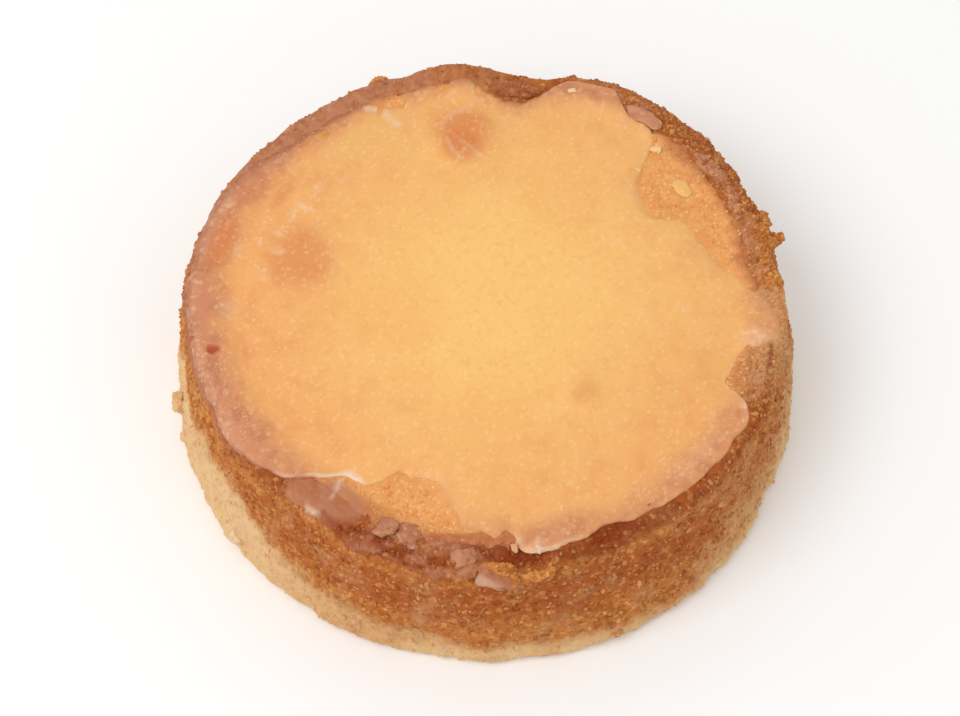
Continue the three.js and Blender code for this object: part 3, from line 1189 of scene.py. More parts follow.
    def fields(self, points: Array) -> dict[str, Array]:
        """Where the crust is pale, dark, rusty, golden, milky or glazed; some of the dark and light is painted
        shade and highlight.

        Args:
            points: The surface's points.

        Returns:
            Numbers from 0 to 1 for each point.
        """
        crust = self.places(points)
        angle, on_rim = crust.angle, crust.on_rim
        pale = self.pale(crust)
        # A painted highlight on the ridges of torn crust, through the glazed and milk fields.
        lit_ridge = crust.standing * self.ridge_highlight.at(angle)
        soaked = self.soaked.at(angle) * on_rim * (0.8 + 0.3 * crust.patchy)
        sheen = self.sheen.at(crust.radius, angle) + self.sheen_left.at(angle) + 0.5 * lit_ridge
        white = self.form.facet_lines.at(crust.radius + 0.2 * crust.wobble, angle)
        parts = {
            "pale": pale,
            "dark": self.dark(crust),
            "rust": self.rust(crust, pale),
            "gold": self.gold(points, crust),
            # Milk on the rim: remains of milky glaze, and a painted sheen on its grains.
            "milk": sheen * on_rim * (1.0 - crust.facet) * ease(self.curds.at(points), -0.7, 0.7),
            "white": white * on_rim * (0.7 + 0.4 * crust.patchy),
            "glazed": np.maximum.reduce([crust.facet * (0.85 + 0.3 * crust.wobble), 0.55 * lit_ridge, soaked]),
            # Painted shade in the hollows of torn crust.
            "deep": -1.4 * crust.torn,
        }
        return SHORTCRUST.filled(angle.shape, parts)

    def build(self) -> bpy.types.Object:
        """Makes the case.

        Returns:
            The object, which stands for the CAD case.
        """
        rows = np.arange(len(self.profile()[0]), dtype=float)
        angle = np.arange(self.columns) * 360.0 / self.columns
        grid = self.surface(rows[:, None] + 0.0 * angle, angle + 0.0 * rows[:, None])
        piece = closed_skins("shortcrust_case", [grid], [self.fields(grid)])
        piece.data.materials.append(SHORTCRUST.material)
        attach(piece, BODY)
        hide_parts("pastry_case")
        return piece


@dataclass
class LemonFilling:
    """The baked filling: a plug whose crumbly top shows in the bays of the glaze and runs on to the rim.

    Limits named for the wall are counted from the inner wall.
    """

    form: TartForm
    columns: int = 960
    smooth_rows: int = 10
    rough_rows: int = 56
    rough_from: float = 24.5
    overlap: float = 1.3
    rise: float = 0.3
    crumb: Relief = Relief(((2.4, 0.2), (1.1, 0.15), (0.6, 0.07)), 5.7)
    meeting: Relief = Relief(((2.6, 1.0), (1.1, 0.6)), 8.1)
    wander: Relief = Relief(((3.0, 1.0), (1.2, 0.7)), 2.2)
    sink_wall: Limits = (-0.7, 0.9)
    rough_reach: float = 2.0
    rusty_wall: Limits = (-2.2, 0.8)
    browned_wall: Limits = (-1.8, -0.4)
    milky_wall: Limits = (-3.0, -1.0)
    rusty: Bumps = Bumps(((345, 9, 1.4), (100, 25, -0.6)))
    less_rusty: Bumps = Bumps(((343, 9, 0.45),), FLAT)
    browned_front: Bumps = Bumps(((269, 9, 1.0),), FLAT)
    milky: Bumps = Bumps(((343, 8, 0.15),))

    def surface(self, radius: Array, angle: Array) -> Array:
        """The top.

        It is the glaze's bed, raised a little and crumbly where it can be bare. It sinks into the rim past
        the inner wall, so that crust and filling meet in a ragged line.

        Args:
            radius: Distance from the middle.
            angle: Angle round the tart.

        Returns:
            Points in millimetres.
        """
        inner = self.form.inner_radius(angle)
        height = self.form.bed_height(radius, angle)
        facet = self.form.facet(radius, angle)
        place = on_circle(radius, angle, height)
        sink = 2.2 * ramp(radius + 0.9 * self.meeting.at(place), inner, self.sink_wall)
        raised = height + self.rise * (1.0 - 0.7 * facet) * (1.0 - sink)
        rough = ramp(radius, self.rough_from, (0.0, self.rough_reach)) * (1.0 - 0.8 * facet)
        return on_circle(radius, angle, raised + self.crumb.at(place) * rough)

    def fields(self, points: Array) -> dict[str, Array]:
        """Where the filling is browned, milky or glazed.

        Args:
            points: The surface's points.

        Returns:
            Numbers from 0 to 1 for each point.
        """
        radius, angle, _ = polar(points)
        inner = self.form.inner_radius(angle)
        wobble = self.wander.at(points)
        rust = ramp(radius + 0.9 * wobble + self.rusty.at(angle), inner, self.rusty_wall)
        rust = rust * (1.0 - self.less_rusty.at(angle))
        rust = rust + self.browned_front.at(angle) * ramp(radius + 0.5 * wobble, inner, self.browned_wall)
        parts = {
            "rust": rust,
            "milk": self.milky.at(angle) * ramp(radius, inner, self.milky_wall),
            "white": self.form.facet_lines.at(radius + 0.15 * wobble, angle) * (0.85 + 0.3 * wobble),
            "glazed": self.form.facet(radius, angle) * (0.7 + 0.35 * wobble),
        }
        return FILLING.filled(radius.shape, parts)

    def build(self) -> bpy.types.Object:
        """Makes the filling.

        Returns:
            The object, which stands for the CAD filling.
        """
        form = self.form
        angle = np.arange(self.columns) * 360.0 / self.columns
        edge = form.inner_radius(angle) + self.overlap
        smooth = np.linspace(0.0, self.rough_from, self.smooth_rows, endpoint=False)[:, None] + 0.0 * angle
        rough = blend(self.rough_from, edge[None, :], np.linspace(0.0, 1.0, self.rough_rows)[:, None])
        top = self.surface(np.concatenate([smooth, rough]), angle[None, :])
        side = [on_circle(edge, angle, height) for height in (form.rim_height / 2, form.floor)]
        low = on_circle(np.array([edge * 0.5, edge * 0.0]), angle[None, :], form.floor)
        grid = np.concatenate([top, np.array(side), low])
        piece = closed_skins("baked_filling", [grid], [self.fields(grid)])
        piece.data.materials.append(FILLING.material)
        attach(piece, BODY)
        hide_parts("lemon_filling")
        return piece


@dataclass
class LemonGlaze:
    """The set glaze: a thin skin with a rounded ragged edge, milky where it lies on the crust.

    Its rings are at steps inwards from the edge, and below at a share of the way out and a depth. The bumps
    and patches say where the edge or a colour changes. Limits named for the wall are counted from the inner
    wall, and those named for the edge inwards from the glaze's edge.
    """

    form: TartForm
    columns: int = 960
    inner_rows: int = 62
    wide_steps: tuple[float, ...] = (5.0, 4.2, 3.5, 2.9, 2.4, 2.0, 1.65, 1.35, 1.1)
    fine_steps: tuple[float, ...] = (0.85, 0.65, 0.48, 0.34, 0.22, 0.13, 0.06, 0.02, 0.0)
    under_steps: tuple[tuple[float, float], ...] = (
        (0.998, 0.3), (0.985, 0.5), (0.96, 0.7), (0.92, 0.9), (0.86, 0.9), (0.7, 0.9), (0.4, 0.9),
        (0.0, 0.9),
    )
    ragged: Relief = Relief(((5.0, 0.7), (2.2, 0.5), (0.8, 0.22)), 1.9)
    swell: Relief = Relief(((8.0, 0.1), (3.0, 0.05)), 4.4)
    wander: Relief = Relief(((5.0, 1.0), (2.0, 0.5)), 6.1)
    fine: Relief = Relief(((1.8, 0.8), (0.55, 0.9)), 13.0)
    glints: Relief = Relief(((4.0, 1.0), (1.5, 0.6)), 16.0)
    gaps: Relief = Relief(((2.2, 1.0),), 9.0)
    curds: Relief = Relief(((0.9, 1.0), (0.4, 0.8)), 12.0)
    edge_width: float = 0.45
    spread_thin: Bumps = Bumps(
        ((16, 30, 1.8), (261, 12, 2.4), (272, 7, 0.8), (98, 20, 1.6), (180, 36, 1.2), (134, 22, 2.2)), FLAT
    )
    edge_thickness: float = 0.6
    full_inset: float = 6.0
    swell_edge: Limits = (0.3, 2.0)
    pit_depth: float = 0.45
    milky_rise: float = 0.06
    sunk: float = 0.06
    crust_wall: Limits = (-3.0, 1.4)
    lap_wall: Limits = (1.6, 2.8)
    brown_wall: Limits = (-1.0, 1.0)
    warm_radii: Limits = (6.0, 37.0)
    glint_radii: Limits = (14.0, 32.0)
    bay_width: float = 2.4
    thinner: Bumps = Bumps(((172, 52, 0.3), (6, 24, 0.25), (310, 24, 0.15)), FLAT)
    crust_shown: Bumps = Bumps(((176, 55, 0.4), (358, 14, -0.12), (75, 22, 0.25), (284, 5, 0.15)), FLAT)
    warm_side: Bumps = Bumps(((180, 60, 1.0), (310, 40, 0.5)), FLAT)
    bay_border: Bumps = Bumps(((262, 17, 4.6), (30, 24, 2.6)), FLAT)
    bay_warmth: Bumps = Bumps(((260, 20, 1.0), (28, 26, 0.9)), FLAT)
    bay_crust: Bumps = Bumps(((269, 10, 0.75),), FLAT)
    milky_lip: Bumps = Bumps(((281, 7, 0.9), (337, 6, 0.6), (351, 3, 0.6)), FLAT)
    milky_lap: Bumps = Bumps(((190, 32, 0.3), (156, 12, 0.2)), FLAT)
    white_edge: Bumps = Bumps(((236, 4.5, 0.9), (228, 3.5, 0.4)), FLAT)
    white_width: Bumps = Bumps(((235.5, 4, 0.5),))
    brown_edge: Bumps = Bumps(
        ((152, 30, 0.9), (198, 26, 0.75), (120, 16, 1.0), (95, 14, 0.6), (2, 16, 0.5)), FLAT
    )
    lap_shadow_line: Bumps = Bumps(((198, 30, 0.8),), FLAT)
    brown_band: Bumps = Bumps(((163, 22, 0.55),), FLAT)
    spots: Patches = Patches(
        (
            (97, 28.2, 3.8, 4.2, 0.8), (98, 24.8, 2.4, 2.8, 0.6), (166, 26.0, 4.4, 5.4, 0.62),
            (152, 37.2, 1.2, 3.0, 0.25), (148, 32.6, 1.2, 2.4, 0.5), (166, 36.6, 1.6, 4.4, 0.85),
            (311, 19.5, 1.8, 2.2, 0.4), (193, 33.0, 1.0, 2.6, 0.25),
        )
    )
    pits: Patches = Patches(((192.4, 37.1, 0.75, 0.8, 1.0),))
    pools: Patches = Patches(
        ((123, 31.5, 2.6, 7.0, 0.8), (112, 27.0, 3.0, 5.0, 0.4), (273.4, 29.7, 0.7, 0.5, 1.0))
    )
    milky_spots: Patches = Patches(
        (
            (141, 29.4, 0.7, 1.0, 0.4), (135, 27.8, 0.7, 0.9, 0.4), (149, 29.0, 1.5, 0.5, 0.55),
            (153, 29.7, 0.6, 1.3, 0.45), (159, 29.9, 0.6, 1.2, 0.5), (165, 29.2, 1.2, 0.8, 0.4),
            (163, 32.0, 0.5, 0.9, 0.45), (167, 34.6, 0.8, 1.1, 0.4), (183, 34.9, 1.3, 1.4, 0.35),
            (173, 30.1, 0.7, 1.2, 0.35), (165, 20.3, 0.35, 0.35, 0.9), (203, 19.6, 0.3, 0.4, 0.6),
            (357, 26.8, 0.45, 0.8, 0.55), (139, 18.0, 0.3, 0.3, 0.6), (350.5, 36.0, 2.0, 1.4, 0.5),
            (334, 37.4, 0.8, 0.8, 0.8), (157, 38.4, 0.9, 1.8, 0.4), (318, 36.5, 1.2, 5.0, 0.2),
            (276, 36.6, 0.8, 0.8, 0.6), (280, 37.6, 0.7, 1.0, 0.7),
        )
    )
    milky_lines: Strokes = Strokes(
        (
            (((30.2, 101.5), (31.5, 97.0), (32.5, 94.0)), 0.4, 0.5),
            (((28.6, 103.0), (30.0, 101.5)), 0.3, 0.4),
            (((26.6, 102.0), (24.5, 101.0), (23.3, 99.0)), 0.3, 0.4),
            (((25.8, 98.0), (24.6, 95.0), (23.4, 92.0)), 0.3, 0.4),
            (((35.8, 117.5), (34.8, 115.0), (33.3, 114.0), (31.6, 113.0)), 0.55, 0.75),
        )
    )

    def edge(self, angle: Array) -> Array:
        """The glaze's ragged edge: its reach, less smooth in the bays than where it laps over the rim.

        Args:
            angle: Angle round the tart.

        Returns:
            How far it runs out from the middle.
        """
        reach = self.form.glaze_reach(angle)
        bay = unit((self.form.glaze_radius + self.form.rim_outline(angle) - reach) / 2.0)
        return reach + self.ragged.at(on_circle(reach, angle, 0.0)) * (0.3 + 0.7 * bay)

    def softness(self, angle: Array) -> Array:
        """The width over which the edge thins out: narrow where chipped, and wide where spread thin."""
        return self.edge_width + self.spread_thin.at(angle)

    def surface(self, inset: Array, angle: Array) -> Array:
        """The top: the bed, plus the glaze's thickness.

        The thickness falls to a crisp edge as a quarter ellipse, and nearly straight to a soft one.

        Args:
            inset: Distance inwards from the edge.
            angle: Angle round the tart.

        Returns:
            Points in millimetres.
        """
        run = self.edge(angle) - inset
        width = self.softness(angle)
        lip = self.edge_thickness - self.thinner.at(angle)
        rise = blend(lip, self.form.glaze_rise, ease(inset, 0.0, self.full_inset))
        share = unit(inset / width)
        rounded = blend(np.sqrt(1.0 - (1.0 - share) ** 2), share, np.clip((width - 0.6) / 1.6, 0.0, 0.85))
        swell = self.swell.at(on_circle(run, angle, self.form.rim_height)) * ease(inset, *self.swell_edge)
        spots = np.minimum(self.milky_spots.at(run, angle), 1.0)
        dips = self.pit_depth * self.pits.at(run, angle) - self.milky_rise * spots
        return self.form.draped(run, angle, rise * rounded + swell - dips - self.sunk)

    def milk(self, grid: Array, inset: Array, wobble: Array) -> Array:
        """How milky the glaze is: at its chipped lips, where it laps over the rim, and in spots and lines.

        Args:
            grid: The surface's points.
            inset: Their distance inwards from the edge.
            wobble: A wandering number for each, about 0.

        Returns:
            The milkiness of each point.
        """
        radius, angle, _ = polar(grid)
        inner = self.form.inner_radius(angle)
        fine = self.fine.at(grid)
        lip = 0.8 * crest(inset, 0.0, 0.4) * self.milky_lip.at(angle)
        lap = self.milky_lap.at(angle) * ramp(radius, inner, self.lap_wall)
        lap = lap * (0.3 + 0.7 * ease(fine, -0.4, 0.9))
        spots = self.milky_spots.at(radius + 0.35 * wobble, angle)
        spots = spots * (0.45 + 0.9 * ease(self.curds.at(grid), -0.3, 0.9))
        lines = self.milky_lines.at(radius + 0.3 * wobble, angle) * (0.5 + 0.5 * ease(fine, -0.8, 0.4))
        return np.maximum.reduce([lip, lap, spots, lines])

    def fields(self, grid: Array, inset: Array) -> dict[str, Array]:
        """Where the glaze shows the crust, a spot or a pool below it, and where it is milky or warm.

        Args:
            grid: The surface's points.
            inset: Their distance inwards from the edge.

        Returns:
            Numbers from 0 to 1 for each point.
        """
        radius, angle, _ = polar(grid)
        wobble = self.wander.at(grid)
        blur = radius + 0.8 * wobble
        inner = self.form.inner_radius(angle)
        near_bay = 1.0 - ease(inset, 0.0, self.bay_width + self.bay_border.at(angle))
        crust = (0.6 + self.crust_shown.at(angle)) * ramp(radius + 0.9 * wobble, inner, self.crust_wall)
        warmth = ease(radius + 1.8 * wobble, *self.warm_radii) * (0.62 + 0.38 * self.warm_side.at(angle))
        thin = 1.0 - ease(inset, 0.0, 0.9 * self.softness(angle))
        brown = thin * self.brown_edge.at(angle) * ramp(radius, inner, self.brown_wall)
        # A thin painted shadow line along the lap's edge on the left.
        brown = brown + crest(inset, 0.1, 0.35) * self.lap_shadow_line.at(angle)
        brown = brown + crest(inset, 0.4, 0.9) * self.brown_band.at(angle)
        white = crest(inset, 0.25, 0.3 + self.white_width.at(angle)) * self.white_edge.at(angle)
        # Painted glints, fewer towards the middle.
        glint = ease(self.glints.at(grid), -0.3, 0.9)
        parts = {
            "crust_below": np.maximum(crust, near_bay * self.bay_crust.at(angle) * (0.8 + 0.4 * wobble)),
            "warmth": np.maximum(warmth, near_bay * self.bay_warmth.at(angle)),
            "spot": self.spots.at(blur, angle),
            "pool": self.pools.at(blur, angle),
            "brown": brown,
            "pit": 1.5 * self.pits.at(radius, angle),
            "milk": self.milk(grid, inset, wobble),
            "sparkle": glint * (0.35 + 0.65 * ease(radius, *self.glint_radii)),
            "white": white * ease(self.gaps.at(grid), -0.9, 0.1),
        }
        return GLAZE.filled(radius.shape, parts)

    def build(self) -> bpy.types.Object:
        """Makes the glaze.

        Returns:
            The object, which stands for the CAD glaze.
        """
        angle = np.arange(self.columns) * 360.0 / self.columns
        edge = self.edge(angle)
        steps = np.array(self.wide_steps + self.fine_steps)
        share = np.linspace(0.0, 1.0, self.inner_rows, endpoint=False)[:, None]
        inset = np.concatenate([edge - (edge - steps[0]) * share, steps[:, None] + 0.0 * edge])
        top = self.surface(inset, angle[None, :])
        below = [self.form.draped(edge * out, angle, -depth) for out, depth in self.under_steps]
        grid = np.concatenate([top, np.array(below)])
        inset = np.concatenate([inset, np.zeros((len(below), self.columns))])
        piece = closed_skins("set_glaze", [grid], [self.fields(grid, inset)])
        piece.data.materials.append(GLAZE.material)
        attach(piece, BODY)
        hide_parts("lemon_glaze")
        return piece


@dataclass(frozen=True)
class Lump:
    """A crumb, flake or chip: its half-lengths along the rim, up and out, its turns, roughness and look.

    Boxiness is 2 for an egg shape, more for a blocky one and less for a pointed one.
    """

    name: str
    at: float
    radius: float
    height: float
    along: float
    up: float
    out: float
    tilt: float = 0.0
    turn: float = 0.0
    boxiness: float = 2.0
    roughness: float = 0.3
    grain: float = 0.12
    look: tuple[tuple[str, float], ...] = ()

    def grid(self, rows: int = 22, columns: int = 36) -> Array:
        """The lump's skin, as rings from pole to pole.

        A ball's points are pushed out to a superellipsoid, grown by noise two lumps to a half-length, scaled
        to the half-lengths, roughened by finer noise, tilted about the line that points out, turned about the
        vertical and set in place.

        Args:
            rows: Rings from pole to pole.
            columns: Points to a ring.

        Returns:
            Points in millimetres.
        """
        rise = np.linspace(-90.0, 90.0, rows)[:, None]
        flat = np.cos(np.radians(rise))
        ball = on_circle(flat, np.arange(columns) * 360.0 / columns, np.sin(np.radians(rise)))
        block = (np.abs(ball) ** self.boxiness).sum(axis=-1, keepdims=True) ** (-1.0 / self.boxiness)
        grown = block * (1.0 + self.roughness * noise(2.0 * ball + [self.at, 0.0, 0.0])[..., None])
        points = ball * grown * [self.along, self.out, self.up]
        points = points * (1.0 + self.grain * noise(points / 0.55 + self.at)[..., None])
        tilt, face = np.radians(self.tilt), np.radians(self.turn) + np.radians(self.at - 90.0)
        x, y, z = points[..., 0], points[..., 1], points[..., 2]
        x, z = x * np.cos(tilt) + z * np.sin(tilt), z * np.cos(tilt) - x * np.sin(tilt)
        x, y = x * np.cos(face) - y * np.sin(face), x * np.sin(face) + y * np.cos(face)
        return np.stack([x, y, z], axis=-1) + on_circle(self.radius, self.at, self.height)

    def dressed(self, finish: Finish, grid: Array, curd: float) -> dict[str, Array]:
        """The lump's fields: its look all over, with its milk broken up by noise into patches, partly painted
        highlights.

        Args:
            finish: Its finish.
            grid: Its points.
            curd: How far apart the noise's bumps are.

        Returns:
            A number for each point, for each field that the finish reads.
        """
        look = dict(self.look)
        fields = {key: np.full(grid.shape[:2], look.get(key, 0.0)) for key in finish.fields}
        # Milky glaze broken into patches, which also stand in for painted highlights on the chips.
        fields["milk"] = fields["milk"] * (0.3 + 0.9 * ease(noise(grid / curd), -0.3, 0.6))
        return fields


# The looks of lumps, as fields of their finish.
PALE_CRUMB = (("pale", 1.0), ("cream", 0.15))
CREAM_CRUMB = (("pale", 1.0), ("cream", 0.5))
RUSTY_SPIKE = (("gold", 0.6), ("rust", 0.4))
GLAZED_CHIP = (("milk", 0.5), ("glazed", 1.0))
MILKY_BIT = (("crust_below", 0.6), ("milk", 0.8))
MILKY_LUMP = (("crust_below", 0.6), ("milk", 0.75))
LEFT_CHUNK = (("crust_below", 1.0), ("brown", 1.0), ("milk", 0.15))
MIDDLE_CHUNK = (("crust_below", 1.0), ("brown", 0.95), ("milk", 0.1))
BACK_CHIP = (("crust_below", 1.0), ("brown", 0.35), ("milk", 0.2))


def toned(fields: dict[str, Array], tone: Array, light_from: float = 0.3, deep_from: float = 0.4) -> None:
    """Makes crumbs of a high tone lighter and those of a low tone deeper, by two of their fields."""
    fields["light"] = unit(tone - light_from)
    fields["deep"] = unit(-tone - deep_from)


@dataclass
class PastryCrumbs:
    """The crumbs, flakes and folded-in lump that show from a step away, stuck to the crust.

    Each has with it how far its middle stands out of the wall. The flake is glazed low on its front.
    """

    form: TartForm
    flake: str = "flake_front"
    share_grained: float = 0.3
    grain_sizes: Limits = (0.14, 0.32)
    seed: int = 11
    lumps: tuple[tuple[Lump, float], ...] = (
        (Lump("crumb_left", 190, 0, 6.2, 1.3, 1.6, 1.0, 20, look=PALE_CRUMB), 0.6),
        (Lump("crumb_left_low", 195.6, 0, 4.0, 0.9, 0.8, 0.8, look=PALE_CRUMB), 0.2),
        (Lump("crumb_foot", 217.5, 0, 3.0, 2.0, 1.5, 1.3, 35, look=CREAM_CRUMB), -0.2),
        (Lump("crumb_back", 112.5, 0, 19.7, 1.5, 0.8, 1.0, look=(("light", 0.8), ("gold", 1.0))), -0.1),
        (Lump("crumb_right", 19.5, 0, 19.4, 1.5, 1.0, 1.2, 10, 0, 1.5, 0.5, look=(("gold", 0.6),)), -0.2),
        (Lump("spike_right", 15.0, 0, 18.9, 1.2, 0.8, 2.4, -20, 28, 1.15, 0.4, look=RUSTY_SPIKE), 0.1),
        (Lump("crumb_front", 293, 0, 2.2, 1.0, 0.9, 0.9, look=(("pale", 0.3),)), -0.1),
        (Lump("fold_back", 84, 0, 20.0, 3.9, 1.0, 1.4, look=(("rust", 0.9), ("glazed", 0.4))), -2.8),
        (Lump("chip_front", 265.5, 0, 20.0, 1.6, 0.9, 1.5, 12, 15, 2.4, look=GLAZED_CHIP), -1.6),
        (Lump("flake_front", 272, 0, 18.9, 3.1, 1.2, 1.7, -14, 0, 2.3, look=(("gold", 0.5),)), 0.2),
        (Lump("cluster_front", 278.8, 0, 17.9, 2.2, 1.0, 1.1, 8, look=(("gold", 1.0), ("light", 0.4))), 0.1),
    )

    def on_wall(self, lump: Lump, stand_out: float) -> Lump:
        """Sets a lump against the wall, whose radius goes straight from the foot's to the shoulder's.

        Args:
            lump: The lump, with its angle and height.
            stand_out: How far its middle stands out of the wall.

        Returns:
            The lump in its place.
        """
        form = self.form
        wall = blend(form.foot_radius, form.shoulder_radius, lump.height / form.shoulder_height)
        outline = float(form.outline(np.array(lump.at), np.array(lump.height)))
        return replace(lump, radius=wall + outline + stand_out)

    def look(self, lump: Lump, grid: Array) -> dict[str, Array]:
        """A lump's fields: its own look, and the flake's glaze.

        Args:
            lump: The lump, in its place.
            grid: Its points.

        Returns:
            Numbers from 0 to 1 for each point.
        """
        fields = lump.dressed(SHORTCRUST, grid, 0.7)
        if lump.name == self.flake:
            radius, angle, _ = polar(grid)
            along = np.radians(angle - lump.at) * radius
            out = radius - lump.radius
            low = ease(out - 0.3 * along + 0.5 * noise(grid / 0.9), -0.2, 0.3)
            low = low * (1.0 - ease(along, 1.3, 1.9))
            fields["rust"] = low
            fields["glazed"] = 0.8 * low
            fields["white"] = 0.35 * low * ease(out - 0.5 * along, 1.2, 2.2)
        return fields

    def grains(self, grids: list[Array], looks: list[dict[str, Array]]) -> bpy.types.Object:
        """The finer grains that the crumbs are made of, at some of their points, and fewer where glazed.

        Args:
            grids: The crumbs' points.
            looks: Their fields.

        Returns:
            The object.
        """
        rng = np.random.default_rng(self.seed)
        inner = [grid[1:-1] for grid in grids]
        points = np.concatenate([grid.reshape(-1, 3) for grid in inner])
        middles = [np.broadcast_to(grid.mean(axis=(0, 1)), part.shape) for grid, part in zip(grids, inner)]
        fields = {key: np.concatenate([look[key][1:-1].ravel() for look in looks]) for key in looks[0]}
        share = self.share_grained * (1.0 - np.minimum(1.0, 1.2 * fields["glazed"]))
        kept = rng.uniform(size=len(points)) < share
        fields = {key: values[kept] for key, values in fields.items()}
        tone = rng.normal(size=int(kept.sum()))
        toned(fields, tone, light_from=0.2)
        fields["deep"] = fields["deep"] * (1.0 - fields["pale"])
        sizes = rng.uniform(*self.grain_sizes, len(tone))
        inward = np.concatenate([middle.reshape(-1, 3) for middle in middles])[kept] - points[kept]
        inward = inward / np.linalg.norm(inward, axis=-1, keepdims=True)
        centres = points[kept] + 0.4 * sizes[:, None] * inward
        return crumb_crowd("flake_grains", centres, sizes, fields, self.seed + 1)

    def build(self) -> list[bpy.types.Object]:
        """Makes the crumbs as one object, and their grains as another.

        Returns:
            The two objects.
        """
        placed = [self.on_wall(lump, stand_out) for lump, stand_out in self.lumps]
        grids = [lump.grid() for lump in placed]
        looks = [self.look(*pair) for pair in zip(placed, grids)]
        crumbs = closed_skins("pastry_crumbs", grids, looks)
        grains = self.grains(grids, looks)
        for piece, finish in ((crumbs, SHORTCRUST), (grains, CRUST_CRUMBS)):
            piece.data.materials.append(finish.material)
            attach(piece, BODY)
        return [crumbs, grains]


@dataclass
class CrumbCoat:
    """Fine crumbs half sunk in the crust: over the wall, and over the rim where the glaze leaves it bare."""

    case: PastryCase
    glaze: LemonGlaze
    wall_count: int = 10500
    rim_count: int = 7500
    mean: float = 0.22
    limits: Limits = (0.12, 0.45)
    depth: float = 0.25
    smoother_rows: int = 24
    smoother_wall: Bumps = Bumps(((125, 80, 0.85),), BOX)
    smoother_rim: Bumps = Bumps(((118, 60, 0.75),), BOX)
    right_share: float = 0.35
    right_side: Limits = (-26.0, 60.0)
    most_facet: float = 0.4
    seed: int = 395

    def sunk(self, centres: Array, sizes: Array, on_top: Array) -> Array:
        """Moves crumbs into the crust: down where they are on top, and otherwise towards the middle.

        Args:
            centres: The middle of each crumb.
            sizes: The radius of each.
            on_top: Whether it is on top of the rim.

        Returns:
            The new middles.
        """
        depth = self.depth * sizes
        radius = np.maximum(np.hypot(centres[:, 0], centres[:, 1]), 1.0)
        inward = np.where(on_top, 0.0, depth / radius)[:, None] * centres * [1.0, 1.0, 0.0]
        return centres - inward - np.where(on_top, depth, 0.0)[:, None] * [0.0, 0.0, 1.0]

    def coat(self, name: str, rows: Array, angle: Array, rng: np.random.Generator) -> bpy.types.Object:
        """Crumbs at some rows and angles of the case.

        Args:
            name: The object's name.
            rows: Where on the case's section each crumb is.
            angle: Its angle.
            rng: The source of random numbers.

        Returns:
            The object.
        """
        centres = self.case.surface(rows, angle)
        sizes = crumb_sizes(self.mean, len(rows), self.limits, rng)
        fields = self.case.fields(centres)
        toned(fields, rng.normal(size=len(rows)))
        fields["light"] = fields["light"] * (1.0 - 0.6 * fields["pale"]) * (1.0 - 0.5 * fields["dark"])
        fields["deep"] = fields["deep"] * 0.8 * (1.0 - 0.9 * fields["pale"])
        centres = self.sunk(centres, sizes, rows >= self.case.rim_row)
        piece = crumb_crowd(name, centres, sizes, fields, int(rng.integers(1 << 30)))
        piece.data.materials.append(CRUST_CRUMBS.material)
        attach(piece, BODY)
        return piece

    def build(self) -> list[bpy.types.Object]:
        """Makes the two coats.

        Returns:
            The wall's crumbs and the rim's.
        """
        rng = np.random.default_rng(self.seed)
        case = self.case
        first = case.first_row + case.corner_rows // 2
        shoulder, last = case.shoulder_row, case.rim_row + case.rim_rows - 1
        rows = rng.uniform(first, shoulder, self.wall_count)
        angle = rng.uniform(0.0, 360.0, self.wall_count)
        left_out = 0.6 * case.fields(case.surface(rows, angle))["pale"]
        high = ease(rows, shoulder - self.smoother_rows, shoulder)
        left_out = left_out + self.smoother_wall.at(angle) * high
        keep = rng.uniform(size=len(rows)) > left_out
        wall = self.coat("wall_crumbs", rows[keep], angle[keep], rng)
        rows = rng.uniform(shoulder, last, self.rim_count)
        angle = rng.uniform(0.0, 360.0, self.rim_count)
        moved = rng.uniform(size=len(angle)) < self.right_share
        angle = np.where(moved, rng.uniform(*self.right_side, len(angle)), angle) % 360.0
        radius, _, _ = polar(case.surface(rows, angle))
        bare = (radius > self.glaze.edge(angle) + 0.1) & (case.form.facet(radius, angle) < self.most_facet)
        keep = bare & (rng.uniform(size=len(rows)) > self.smoother_rim.at(angle))
        return [wall, self.coat("rim_crumbs", rows[keep], angle[keep], rng)]


@dataclass
class FillingCrumbs:
    """Crumbs of filling and crust in the bays, where the glaze has come away."""

    filling: LemonFilling
    glaze: LemonGlaze
    count: int = 10500
    mean: float = 0.17
    limits: Limits = (0.1, 0.4)
    depth: float = 0.05
    least_radius: float = 24.0
    right_share: float = 0.16
    right_side: Limits = (336.0, 350.0)
    most_facet: float = 0.4
    seed: int = 83

    def build(self) -> bpy.types.Object:
        """Makes the crumbs.

        Returns:
            The object.
        """
        rng = np.random.default_rng(self.seed)
        form = self.filling.form
        angle = rng.uniform(0.0, 360.0, self.count)
        moved = rng.uniform(size=len(angle)) < self.right_share
        angle = np.where(moved, rng.uniform(*self.right_side, len(angle)), angle)
        edge, inner = self.glaze.edge(angle), form.inner_radius(angle)
        radius = rng.uniform(self.least_radius, inner + 1.0)
        bare = (radius > edge - 0.1) & (form.facet(radius, angle) < self.most_facet)
        radius, angle = radius[bare], angle[bare]
        centres = self.filling.surface(radius, angle) - [0.0, 0.0, self.depth]
        fields = self.filling.fields(centres)
        toned(fields, rng.normal(size=len(radius)))
        fields["light"], fields["deep"] = 0.8 * fields["light"], 0.6 * fields["deep"]
        sizes = crumb_sizes(self.mean, len(radius), self.limits, rng)
        piece = crumb_crowd("filling_crumbs", centres, sizes, fields, self.seed + 1)
        piece.data.materials.append(LEMON_CRUMBS.material)
        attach(piece, BODY)
        return piece


